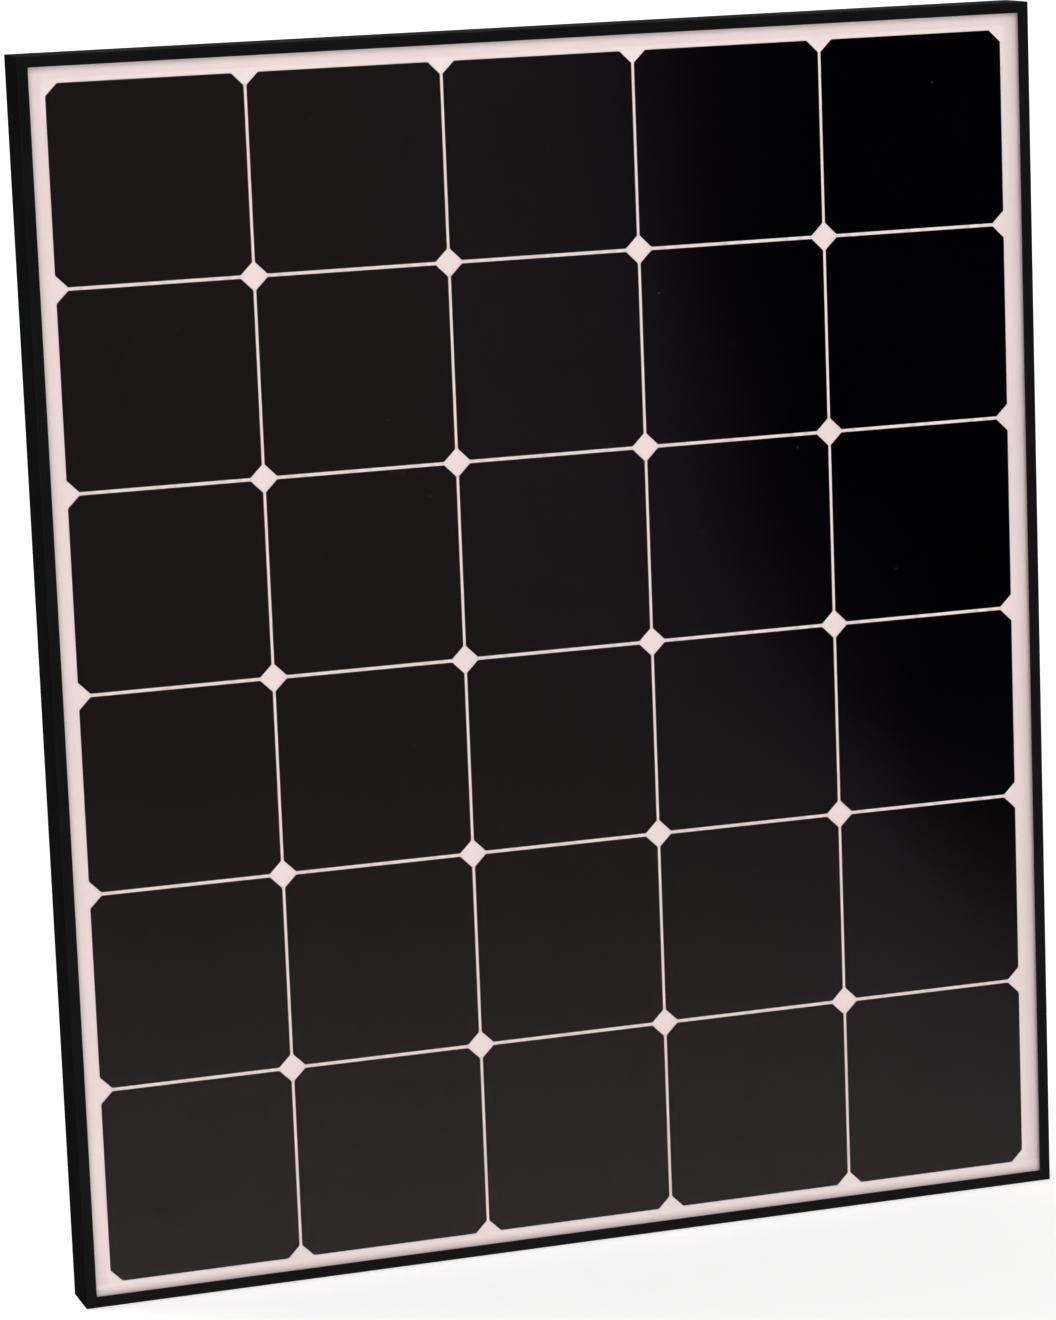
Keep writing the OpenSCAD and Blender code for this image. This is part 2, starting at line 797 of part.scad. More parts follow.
module terminal_plate(p) {
    color(tinned) difference() {
        slab(plate_rear_v, plate_t)
            translate([p * lead_pitch, carrier_mid]) square([plate_w, plate_h], center = true);
        if (p != 0)
            depth_rod(p * lead_pitch, clamp_z, clamp_screw_d + 4 * screw_gap,
                plate_rear_v - cut_over, plate_v + cut_over);
    }
}

module bypass_diode(side) {
    wire_l = lead_pitch - plate_w / 2;
    translate([side * lead_pitch / 2, -diode_v, diode_z]) rotate([0, 90, 0]) {
        color("#1b1b1d") cylinder(d = diode_d, h = diode_l, center = true);
        color(tinned) cylinder(d = diode_wire_d, h = wire_l, center = true);
    }
}

module cable_clamps() {
    color("#a9acae") for (side = [-1, 1]) difference() {
        slab(plate_rear_v - clamp_t, clamp_t)
            translate([side * lead_pitch, clamp_z]) square([clamp_w, clamp_h], center = true);
        depth_rod(side * lead_pitch, clamp_z, clamp_screw_d + 4 * screw_gap,
            plate_rear_v - clamp_t - cut_over, plate_rear_v + cut_over);
    }
}

module clamp_screws() {
    color("#b4b6b8") screw_pair(lead_pitch, clamp_z, clamp_screw_d,
        plate_rear_v - clamp_t, plate_v + carrier_t - tip_clear);
}

// Cable glands: s runs outwards, down from the box's lower wall

module gland_at(side) {
    translate([side * gland_x, -gland_v, box_bottom]) rotate([180, 0, 0]) children();
}

module ring(s0, s1, d_out, d_in) {
    translate([0, 0, s0]) difference() {
        cylinder(d = d_out, h = s1 - s0);
        translate([0, 0, -cut_over]) cylinder(d = d_in, h = s1 - s0 + 2 * cut_over);
    }
}

module hex_ring(s0, s1, d_in) {
    translate([0, 0, s0]) difference() {
        cylinder(d = gland_af / cos(30), h = s1 - s0, $fn = 6);
        translate([0, 0, -cut_over]) cylinder(d = d_in, h = s1 - s0 + 2 * cut_over);
    }
}

module gland_body(side) {
    thread_d = gland_d - 2 * gland_gap;
    color("#222326") gland_at(side) {
        ring(-gland_in, 0, thread_d, cable_path_d);
        hex_ring(0, gland_hex, cable_path_d);
        ring(gland_hex, gland_hex + gland_neck, thread_d, insert_d + 2 * gland_gap);
    }
}

module gland_insert(side) {
    color("#515255") gland_at(side)
        ring(gland_hex, gland_hex + gland_neck, insert_d, cable_bore_d);
}

module gland_cap(side) {
    neck_end = gland_hex + gland_neck + gland_gap;
    bore_r = gland_d / 2;
    path_r = cable_path_d / 2;
    color("#222326") gland_at(side) {
        hex_ring(cap_start, cap_start + cap_hex, gland_d);
        rotate_extrude() polygon([[bore_r, cap_start + cap_hex], [gland_af / 2, cap_start + cap_hex],
            [gland_af / 2, cap_end - cap_bevel], [gland_af / 2 - cap_bevel, cap_end], [path_r, cap_end],
            [path_r, neck_end], [bore_r, neck_end]]);
    }
}

module gland_locknuts() {
    color("#222326") for (side = [-1, 1]) gland_at(side)
        hex_ring(-box_wall - locknut_t, -box_wall, gland_d);
}

module vent_plug() {
    color("#8b8d90") gland_at(0) {
        cylinder(d = vent_flange_d, h = vent_flange_t);
        translate([0, 0, -box_wall - vent_in]) {
            cylinder(d = vent_d, h = box_wall + vent_in + vent_flange_t / 2);
            cylinder(d = vent_barb_d, h = vent_barb_t);
        }
    }
}

module cell_string_1() { cell_string(0); }
module cell_string_2() { cell_string(1); }
module cell_string_3() { cell_string(2); }
module cell_string_4() { cell_string(3); }
module cell_string_5() { cell_string(4); }
module lead_left() { lead(-1); }
module lead_centre() { lead(0); }
module lead_right() { lead(1); }
module terminal_plate_left() { terminal_plate(-1); }
module terminal_plate_centre() { terminal_plate(0); }
module terminal_plate_right() { terminal_plate(1); }
module bypass_diode_left() { bypass_diode(-1); }
module bypass_diode_right() { bypass_diode(1); }
module gland_body_left() { gland_body(-1); }
module gland_body_right() { gland_body(1); }
module gland_insert_left() { gland_insert(-1); }
module gland_insert_right() { gland_insert(1); }
module gland_cap_left() { gland_cap(-1); }
module gland_cap_right() { gland_cap(1); }

frame_rail_left();
frame_rail_right();
frame_rail_top();
frame_rail_bottom();
corner_key_top_left();
corner_key_top_right();
corner_key_bottom_left();
corner_key_bottom_right();
edge_seal();
front_glass();
front_encapsulant();
cell_string_1();
cell_string_2();
cell_string_3();
cell_string_4();
cell_string_5();
cell_interconnects();
string_end_tabs();
bus_ribbons_top();
bus_ribbons_bottom();
collector_ribbon_left();
collector_ribbon_centre();
collector_ribbon_right();
ribbon_insulation();
cover_strip_top();
cover_strip_bottom();
rear_encapsulant();
backsheet();
rating_label();
lead_left();
lead_centre();
lead_right();
box_adhesive();
box_base();
box_lid();
lid_seal();
hinge_pin();
terminal_carrier();
carrier_screws();
terminal_plate_left();
terminal_plate_centre();
terminal_plate_right();
bypass_diode_left();
bypass_diode_right();
cable_clamps();
clamp_screws();
gland_body_left();
gland_body_right();
gland_insert_left();
gland_insert_right();
gland_cap_left();
gland_cap_right();
gland_locknuts();
vent_plug();
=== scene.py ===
import math

import bmesh
import bpy
import numpy as np
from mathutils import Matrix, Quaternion, Vector
from mathutils.geometry import tessellate_polygon


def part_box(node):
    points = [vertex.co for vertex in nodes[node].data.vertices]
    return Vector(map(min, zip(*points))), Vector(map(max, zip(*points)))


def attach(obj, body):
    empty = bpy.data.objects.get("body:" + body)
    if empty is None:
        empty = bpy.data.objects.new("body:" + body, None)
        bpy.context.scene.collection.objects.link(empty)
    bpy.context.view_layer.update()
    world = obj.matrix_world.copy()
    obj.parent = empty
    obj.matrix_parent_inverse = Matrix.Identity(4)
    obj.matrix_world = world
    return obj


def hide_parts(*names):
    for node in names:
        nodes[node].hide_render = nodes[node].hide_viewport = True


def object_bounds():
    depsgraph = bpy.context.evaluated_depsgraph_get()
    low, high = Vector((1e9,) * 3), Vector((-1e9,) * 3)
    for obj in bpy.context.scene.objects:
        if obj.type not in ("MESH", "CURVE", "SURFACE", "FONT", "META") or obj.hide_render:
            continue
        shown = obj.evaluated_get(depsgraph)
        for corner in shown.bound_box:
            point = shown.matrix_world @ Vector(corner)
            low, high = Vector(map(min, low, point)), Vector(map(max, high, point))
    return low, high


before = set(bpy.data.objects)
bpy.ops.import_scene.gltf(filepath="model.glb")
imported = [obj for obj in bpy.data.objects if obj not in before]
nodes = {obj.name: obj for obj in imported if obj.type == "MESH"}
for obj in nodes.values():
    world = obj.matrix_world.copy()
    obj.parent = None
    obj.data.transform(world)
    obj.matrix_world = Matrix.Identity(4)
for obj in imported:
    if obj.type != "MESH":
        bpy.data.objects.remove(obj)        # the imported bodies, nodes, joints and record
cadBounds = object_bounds()  # the CAD model's own box

mm = 0.001
scene = bpy.context.scene
scene.view_settings.view_transform = "Standard"


def span(node):
    # A node's extent: along X, forward from the rear plane (v), and along Z
    low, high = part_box(node)
    return {"x0": low.x, "x1": high.x, "v0": -high.y, "v1": -low.y, "z0": low.z, "z1": high.z}


panelWidth = cadBounds[1][0] - cadBounds[0][0]
panelHeight = cadBounds[1][2] - cadBounds[0][2]
panelDepth = cadBounds[1][1] - cadBounds[0][1]
sealSpan = span("edge_seal")
backSpan = span("backsheet")
glassSpan = span("front_glass")
filmSpan = span("front_encapsulant")
strings = [span("cell_string_%d" % number) for number in range(1, 6)]
boxSpan = span("box_base")
boxTop = span("box_adhesive")["z1"] + 1.5 * mm   # the box without its hinge
boxHeight = boxTop - boxSpan["z0"]
boxMiddle = boxTop - boxHeight / 2
print("frame read")


camera = {
    "place": (-0.9424, -2.9063, 0.5461),   # metres, in the panel's own frame
    "aim": (-0.0213, -0.0293, -0.0059),    # the point in the middle of the view
    "roll": -2.206,                        # degrees, a slight lean
    "lens": 130.5,
}


def makeCamera():
    data = bpy.data.cameras.new("camera")
    data.lens = camera["lens"]
    data.clip_end = 200
    holder = bpy.data.objects.new("camera", data)
    scene.collection.objects.link(holder)
    place = Vector(camera["place"])
    ahead = Vector(camera["aim"]) - place
    lean = Quaternion((0, 0, 1), math.radians(camera["roll"]))
    holder.rotation_mode = "QUATERNION"
    holder.rotation_quaternion = ahead.to_track_quat("-Z", "Y") @ lean
    holder.location = place
    scene.camera = holder


stage = {
    "reach": 60.0,          # half width of the floor
    "drop": 0.4 * mm,       # gap under the bottom rail
    "colour": (0.93, 0.928, 0.925),
    "paler": 1.02,          # its lightest patches
    "patches": 1.3,         # how closely they lie
    "rough": 0.9,
    "mirror": 0.1,
    "glow": 0.48,           # keeps the far floor as pale as the near floor
}

lamps = {
    "frontLamp": {"from": (-0.35, -1.5, 0.55), "power": 1.90, "spread": 42, "colour": (1.0, 0.99, 0.985)},
    "rearLamp": {"from": (-1.1, 1.2, 1.2), "power": 1.3, "spread": 50, "colour": (1.0, 1.0, 1.0)},
}

room = {
    # angles in degrees: azimuth from straight ahead of the glass towards +X, and elevation
    "plain": 1.0,                       # what the camera sees behind the panel
    "soft": 0.32,                       # what falls on matt surfaces from all around
    "wall": (0.80, 0.82, 0.84),         # the mirrored room all round
    "warmWall": (1.06, 0.74, 0.72),     # the part of it in front of the panel
    "duskWall": (0.90, 0.60, 0.77),     # its right end, beside the screen
    "warmFrom": (-14, 4),
    "warmTo": (45, 60),
    "dusk": (14.5, 20.5),
    "ground": (1.66, 1.44, 1.42),
    "groundRise": (-10.5, -19.0),
    "sky": (0.9, 0.92, 0.95),
    "skyRise": (18, 60),
    "screenLeft": (18.5, 20.2),         # a dark screen, whose left edge leans outwards as it goes down
    "leans": ((-4.0, 0.16), (-9.3, 0.5)),   # below each height, by this much for each degree
    "screenFoot": (-17, -13),
    "screenRight": (44, 58),
    "screenTop": (14, 24),
    "dimFrom": (-206, -180),            # unlit corner behind on the left
    "dimTo": (-104, -78),
    "dim": 0.04,
    "softColour": (1, 0.99, 0.985, 1),
}

softBoxes = {
    # lit panels that only mirrors see: the angles over which each fades in, and those where it fades
    # out again, from side to side and from foot to top
    "right": {"sides": (62, 80, 104, 118), "ends": (-34, -14, 22, 44), "glow": 5.0},
    "rear": {"sides": (118, 128, 142, 152), "ends": (-36, -24, -8, 2), "glow": 4.0},
    "left": {"sides": (-66, -54, -38, -26), "ends": (-22, -16, 20, 34), "glow": 2.6},
}

noiseSpan = (0.3, 0.7)      # most of a noise's values lie between these


def wire(tree, node, values):
    # Links each value that is a socket to its input, and sets any other
    for key, value in values.items():
        if isinstance(value, bpy.types.NodeSocket):
            tree.links.new(value, node.inputs[key])
        else:
            node.inputs[key].default_value = value


def add(tree, kind, values=None, **settings):
    made = tree.nodes.new(kind)
    for name, value in settings.items():
        setattr(made, name, value)
    wire(tree, made, values or {})
    return made


def sums(tree, operation, first, second=0.0):
    return add(tree, "ShaderNodeMath", {0: first, 1: second}, operation=operation).outputs[0]


def plus(tree, first, second):
    return sums(tree, "ADD", first, second)


def minus(tree, first, second):
    return sums(tree, "SUBTRACT", first, second)


def times(tree, first, second):
    return sums(tree, "MULTIPLY", first, second)


def larger(tree, first, second):
    return sums(tree, "MAXIMUM", first, second)


def smaller(tree, first, second):
    return sums(tree, "MINIMUM", first, second)


def apart(tree, value, middle):
    return sums(tree, "ABSOLUTE", minus(tree, value, middle))


def notIn(tree, share):
    return minus(tree, 1.0, share)


def parts(tree, vector):
    return add(tree, "ShaderNodeSeparateXYZ", {0: vector}).outputs


def facing(tree):
    # Which way the surface faces
    return add(tree, "ShaderNodeNewGeometry").outputs["Normal"]


def fade(tree, value, start, end, low=0.0, high=1.0):
    # Smooth step of value from low at start to high at end
    return add(tree, "ShaderNodeMapRange", {0: value, 1: start, 2: end, 3: low, 4: high},
               interpolation_type="SMOOTHSTEP").outputs[0]


def mixColour(tree, share, first, second, blend="MIX"):
    # share 0 gives the first colour, 1 the second; a colour is a socket or three numbers
    colours = [value if isinstance(value, bpy.types.NodeSocket) else (*value, 1) for value in (first, second)]
    return add(tree, "ShaderNodeMix", {0: share, 6: colours[0], 7: colours[1]},
               data_type="RGBA", blend_type=blend).outputs[2]


def ownPlace(tree, stretch=None):
    # The piece's own coordinates; a small stretch along an axis draws a pattern out along it
    place = add(tree, "ShaderNodeTexCoord").outputs["Object"]
    if stretch:
        place = add(tree, "ShaderNodeMapping", {"Vector": place, "Scale": stretch}).outputs[0]
    return place


def noise(tree, place, scale, detail=4.0, roughness=0.55):
    return add(tree, "ShaderNodeTexNoise", {"Vector": place, "Scale": scale, "Detail": detail,
                                            "Roughness": roughness}).outputs[0]


def newMaterial(name, values):
    made = bpy.data.materials.new(name)
    made.use_nodes = True
    shader = made.node_tree.nodes["Principled BSDF"]
    wire(made.node_tree, shader, values)
    return made, made.node_tree, shader


def makeStage():
    floorZ = cadBounds[0][2] - stage["drop"]
    reach = stage["reach"]
    mesh = bpy.data.meshes.new("floor")
    mesh.from_pydata([(-reach, -reach, floorZ), (reach, -reach, floorZ),
                      (reach, reach, floorZ), (-reach, reach, floorZ)], [], [(0, 1, 2, 3)])
    floor = bpy.data.objects.new("floor", mesh)
    scene.collection.objects.link(floor)
    pale, tree, shader = newMaterial("paleFloor", {
        "Roughness": stage["rough"], "Specular IOR Level": stage["mirror"],
        "Emission Color": (1, 1, 1, 1), "Emission Strength": stage["glow"]})
    cloud = noise(tree, ownPlace(tree), stage["patches"], 3.0, 0.5)
    paler = [part * stage["paler"] for part in stage["colour"]]
    wire(tree, shader, {"Base Color": mixColour(tree, cloud, stage["colour"], paler)})
    mesh.materials.append(pale)
    floor.visible_glossy = False


def makeLamps():
    for name, lamp in lamps.items():
        data = bpy.data.lights.new(name, "SUN")
        data.energy = lamp["power"]
        data.angle = math.radians(lamp["spread"])
        data.color = lamp["colour"]
        holder = bpy.data.objects.new(name, data)
        scene.collection.objects.link(holder)
        holder.rotation_mode = "QUATERNION"
        holder.rotation_quaternion = Vector(lamp["from"]).to_track_quat("Z", "Y")
        holder.visible_glossy = False


def makeRoom():
    # Three skies in one: white for the camera, even light for matt skin, and a soft room to mirror
    sky = bpy.data.worlds.new("room")
    sky.use_nodes = True
    tree = sky.node_tree
    tree.nodes.clear()
    ray = add(tree, "ShaderNodeLightPath")
    x, y, z = parts(tree, add(tree, "ShaderNodeTexCoord").outputs["Generated"])
    rise = times(tree, sums(tree, "ARCSINE", z), 180 / math.pi)
    turn = times(tree, sums(tree, "ARCTAN2", x, times(tree, y, -1.0)), 180 / math.pi)

    def between(value, starts, ends):
        return times(tree, fade(tree, value, *starts), notIn(tree, fade(tree, value, *ends)))

    warm = between(turn, room["warmFrom"], room["warmTo"])
    leaning = turn
    for start, slope in room["leans"]:
        below = smaller(tree, minus(tree, rise, start), 0.0)
        leaning = plus(tree, leaning, times(tree, below, slope))
    wall = mixColour(tree, fade(tree, leaning, *room["dusk"]), room["warmWall"], room["duskWall"])
    wall = mixColour(tree, warm, room["wall"], wall)
    screen = times(tree, fade(tree, leaning, *room["screenLeft"]),
                   notIn(tree, fade(tree, turn, *room["screenRight"])))
    screen = times(tree, screen, between(rise, room["screenFoot"], room["screenTop"]))
    ground = mixColour(tree, fade(tree, rise, *room["groundRise"]), (0, 0, 0), room["ground"])
    above = mixColour(tree, fade(tree, rise, *room["skyRise"]), (0, 0, 0), room["sky"])
    lit = mixColour(tree, screen, wall, (0, 0, 0))
    lit = mixColour(tree, 1.0, mixColour(tree, 1.0, lit, ground, "ADD"), above, "ADD")
    for box in softBoxes.values():
        pane = times(tree, between(turn, box["sides"][:2], box["sides"][2:]),
                     between(rise, box["ends"][:2], box["ends"][2:]))
        lit = mixColour(tree, pane, lit, (box["glow"],) * 3)
    behind = minus(tree, turn, times(tree, sums(tree, "GREATER_THAN", turn, 90.0), 360.0))
    lit = mixColour(tree, between(behind, room["dimFrom"], room["dimTo"]), lit, (room["dim"],) * 3)
    mirrored = add(tree, "ShaderNodeBackground", {0: lit, 1: 1.0}).outputs[0]
    soft = add(tree, "ShaderNodeBackground", {0: room["softColour"], 1: room["soft"]}).outputs[0]
    plain = add(tree, "ShaderNodeBackground", {0: (1, 1, 1, 1), 1: room["plain"]}).outputs[0]
    matt = add(tree, "ShaderNodeMixShader",
               {0: ray.outputs["Is Glossy Ray"], 1: soft, 2: mirrored}).outputs[0]
    seen = add(tree, "ShaderNodeMixShader", {0: ray.outputs["Is Camera Ray"], 1: matt, 2: plain})
    add(tree, "ShaderNodeOutputWorld", {0: seen.outputs[0]})
    scene.world = sky


makeCamera()
makeStage()
makeLamps()
makeRoom()
print("camera, floor, lamps and room placed")


def mottled(tree, pattern, dark, light):
    return mixColour(tree, fade(tree, pattern, *noiseSpan), dark, light)


def bump(tree, height, depth, normal=None):
    values = {"Height": height, "Distance": depth, "Strength": 1.0}
    if normal is not None:
        values["Normal"] = normal
    return add(tree, "ShaderNodeBump", values).outputs[0]


wear = {
    "edge": 0.5 * mm,                  # how far it reaches in from an edge
    "bend": (0.998, 0.93),             # how far the surface has to turn for none and for all of it
    "rubs": 420.0,                     # scale of the rubs
    "share": 0.55,
}


def wornEdges(tree, width):
    # How much the rounded normal leaves the true one: 0 on flats, up to 1 along edges
    edge = add(tree, "ShaderNodeBevel", {"Radius": width}, samples=6).outputs[0]
    turned = add(tree, "ShaderNodeVectorMath", {0: edge, 1: facing(tree)}, operation="DOT_PRODUCT")
    return fade(tree, turned.outputs["Value"], *wear["bend"])


looks = {
    # dark and light tone, scale of the mottle, roughness from and to, grain scale, its depth in mm,
    # tone of the rubbed edges, and metal
    "boxPlastic": {"dark": (0.0105, 0.0108, 0.0115), "light": (0.0165, 0.0168, 0.0178), "mottle": 60,
                   "rough": (0.50, 0.66), "grain": 2600, "depth": 0.05, "edge": (0.045, 0.046, 0.048)},
    "glandPlastic": {"dark": (0.009, 0.009, 0.0095), "light": (0.014, 0.014, 0.015), "mottle": 90,
                     "rough": (0.34, 0.46), "grain": 1800, "depth": 0.02, "edge": (0.05, 0.05, 0.052)},
    "carrierPlastic": {"dark": (0.030, 0.032, 0.036), "light": (0.042, 0.044, 0.050), "mottle": 140,
                       "rough": (0.38, 0.5), "grain": 2200, "depth": 0.03, "edge": (0.08, 0.08, 0.085)},
    "diodeEpoxy": {"dark": (0.006, 0.006, 0.0065), "light": (0.011, 0.011, 0.012), "mottle": 200,
                   "rough": (0.22, 0.34), "grain": 3000, "depth": 0.01, "edge": (0.03, 0.03, 0.03)},
    "ventPlastic": {"dark": (0.17, 0.18, 0.19), "light": (0.24, 0.25, 0.26), "mottle": 160,
                    "rough": (0.5, 0.62), "grain": 2600, "depth": 0.03, "edge": (0.34, 0.35, 0.36)},
    "sealRubber": {"dark": (0.022, 0.022, 0.023), "light": (0.034, 0.034, 0.036), "mottle": 120,
                   "rough": (0.62, 0.8), "grain": 1500, "depth": 0.04, "edge": (0.06, 0.06, 0.062)},
    "blackSilicone": {"dark": (0.010, 0.010, 0.011), "light": (0.017, 0.017, 0.018), "mottle": 70,
                      "rough": (0.36, 0.52), "grain": 700, "depth": 0.06, "edge": (0.02, 0.02, 0.021)},
    "whiteSilicone": {"dark": (0.56, 0.56, 0.53), "light": (0.66, 0.66, 0.63), "mottle": 80,
                      "rough": (0.38, 0.55), "grain": 600, "depth": 0.08, "edge": (0.7, 0.7, 0.67)},
    "rawAluminium": {"dark": (0.44, 0.45, 0.46), "light": (0.60, 0.61, 0.62), "mottle": 50, "metal": 1.0,
                     "rough": (0.34, 0.48), "grain": 900, "depth": 0.02, "edge": (0.75, 0.75, 0.76)},
    "zincSteel": {"dark": (0.50, 0.50, 0.49), "light": (0.66, 0.66, 0.64), "mottle": 240, "metal": 1.0,
                  "rough": (0.24, 0.4), "grain": 2000, "depth": 0.012, "edge": (0.82, 0.82, 0.8)},
    "whiteStrip": {"dark": (0.77, 0.66, 0.665), "light": (0.80, 0.69, 0.695), "mottle": 40,
                   "rough": (0.5, 0.6), "grain": 1800, "depth": 0.01, "edge": (0.80, 0.69, 0.695)},
}
looks["lidPlastic"] = dict(looks["boxPlastic"], rough=(0.46, 0.62))

lidPanel = {
    "inset": 9 * mm,                   # from the lid's edge to the moulded groove
    "radius": 5 * mm,
    "wide": 1.1 * mm,
    "deep": 0.45 * mm,
    "skin": 0.5 * mm,                  # the groove is only this near the outer face
}


def lidGroove(tree, place):
    # 1 along a rounded rectangle on the lid's outer face: distance to the outline, made into a channel
    lid = span("box_lid")
    x, y, z = parts(tree, place)
    inset, radius = lidPanel["inset"], lidPanel["radius"]
    halfX = (boxSpan["x1"] - boxSpan["x0"]) / 2 - inset - radius
    halfZ = boxHeight / 2 - inset - radius
    outX = minus(tree, apart(tree, x, (boxSpan["x0"] + boxSpan["x1"]) / 2), halfX)
    outZ = minus(tree, apart(tree, z, boxMiddle), halfZ)
    squares = [sums(tree, "POWER", larger(tree, out, 0.0), 2.0) for out in (outX, outZ)]
    away = sums(tree, "SQRT", plus(tree, *squares))
    away = plus(tree, away, smaller(tree, larger(tree, outX, outZ), 0.0))
    outer = sums(tree, "GREATER_THAN", y, -(lid["v0"] + lidPanel["skin"]))
    line = fade(tree, apart(tree, away, radius), lidPanel["wide"] / 2, lidPanel["wide"] / 6)
    return times(tree, line, outer)


def footLightShare(tree, z):
    # 0 beside the cells and above them, rising to 1 along the foot of the laminate, where painted light
    # offsets the bottom lip's shade
    start, end = filmLook["footFade"]
    return fade(tree, z, strings[0]["z0"] + start, strings[0]["z0"] + end)


def mouldedMaterial(name):
    # Mottled tone and roughness, a fine pebbled skin, and paler rubbed edges
    look = looks[name]
    made, tree, shader = newMaterial(name, {"Metallic": look.get("metal", 0.0)})
    place = ownPlace(tree)
    mottle = noise(tree, place, look["mottle"], 5.0)
    grain = noise(tree, place, look["grain"], 2.0)
    tone = mottled(tree, mottle, look["dark"], look["light"])
    if name == "whiteStrip":
        # painted light: the strip's foot is whitened to offset the bottom lip's shade
        tone = mixColour(tree, footLightShare(tree, parts(tree, place)[2]), tone, filmLook["foot"])
    rubs = fade(tree, noise(tree, place, wear["rubs"]), 0.42, 0.62)
    rubbed = times(tree, times(tree, wornEdges(tree, wear["edge"]), rubs), wear["share"])
    skin = bump(tree, grain, look["depth"] * mm)
    if name == "lidPlastic":
        skin = bump(tree, lidGroove(tree, place), -lidPanel["deep"], skin)
    wire(tree, shader, {"Base Color": mixColour(tree, rubbed, tone, look["edge"]),
                        "Roughness": fade(tree, mottle, 0.25, 0.75, *look["rough"]), "Normal": skin})
    return made


anodised = {
    "dark": (0.0018, 0.0021, 0.0021),
    "light": (0.0030, 0.0034, 0.0034),
    "edge": (0.013, 0.0135, 0.0135),    # where handling has polished the corners
    "dust": (0.016, 0.0152, 0.0146),    # a little of it settles on the top face, and there it also serves as painted sheen
    "dustRough": 0.96,
    "dustScale": 55.0,
    "topFace": (0.3, 0.75),             # how far a face has to look up for none and for all of it
    "rough": (0.40, 0.54),
    "lines": 0.02 * mm,                 # depth of the die lines along the extrusion
    "lineScale": 1500.0,
    "cloudScale": 22.0,
    "rubs": (0.35 * mm, 160.0, 0.6),    # reach from an edge, scale and share
    "mirror": 0.04,                     # how strongly the skin mirrors
    "coat": 0.22,                       # gloss of the sealed skin, away from the front and left faces
    "coatRough": 0.46,
    "coatFrom": (-0.75, -0.3),          # a face's lesser direction, X or Y, for none and for all of it
}


def anodisedMaterial(name, stretch):
    # Black anodised skin: die lines drawn out along the rail, soft cloudiness and a few fine rubs
    made, tree, shader = newMaterial(name, {"Specular IOR Level": anodised["mirror"],
                                            "Coat Roughness": anodised["coatRough"]})
    x, y, z = parts(tree, facing(tree))
    sealed = fade(tree, smaller(tree, x, y), *anodised["coatFrom"], 0.0, anodised["coat"])
    matt = fade(tree, z, *anodised["topFace"])
    place = ownPlace(tree)
    lines = noise(tree, ownPlace(tree, stretch), anodised["lineScale"], 3.0, 0.7)
    cloud = noise(tree, place, anodised["cloudScale"], 5.0)
    tone = mottled(tree, cloud, anodised["dark"], anodised["light"])
    tone = mixColour(tree, fade(tree, lines, 0.52, 0.8, 0.0, 0.35), tone, anodised["edge"])
    reach, scale, share = anodised["rubs"]
    rubs = fade(tree, noise(tree, place, scale), 0.5, 0.66)
    rubbed = times(tree, times(tree, wornEdges(tree, reach), rubs), share)
    tone = mixColour(tree, rubbed, tone, anodised["edge"])
    # the top face is lighter: partly settled dust, partly painted sheen standing in for its reflection
    dustAndSheen = fade(tree, noise(tree, place, anodised["dustScale"], 6.0), *noiseSpan, 0.25, 0.75)
    rough = plus(tree, times(tree, lines, 0.5), times(tree, cloud, 0.5))
    rough = fade(tree, rough, *noiseSpan, *anodised["rough"])
    wire(tree, shader, {"Base Color": mixColour(tree, times(tree, matt, dustAndSheen), tone, anodised["dust"]),
                        "Roughness": larger(tree, rough, times(tree, matt, anodised["dustRough"])),
                        "Coat Weight": times(tree, sealed, notIn(tree, matt)),
                        "Normal": bump(tree, lines, anodised["lines"])})
    return made


glassLook = {
    "tint": (0.985, 0.987, 0.985),     # low-iron glass, hardly green
    "coating": 1.235,                  # index of the antireflective coating
    "rough": (0.06, 0.10),
    "smears": 7.0,                     # scale of the patches that vary the gloss
    "texture": (700.0, 0.0016 * mm),   # scale and depth of the rolled surface
    "places": 120.0,                   # how closely specks of dust could lie
    "bare": 0.93,                      # share of those places without one
    "speck": (0.052, 0.026),           # where a speck's rim starts and ends, as a share of its place
    "dust": 0.42,                      # how white a speck is
    "dustColour": (0.75, 0.72, 0.70, 1),
    "film": ((0.985, 0.985, 0.98), (0.995, 0.995, 0.99)),   # milkiest and clearest encapsulant
    "filmHaze": 12.0,
}


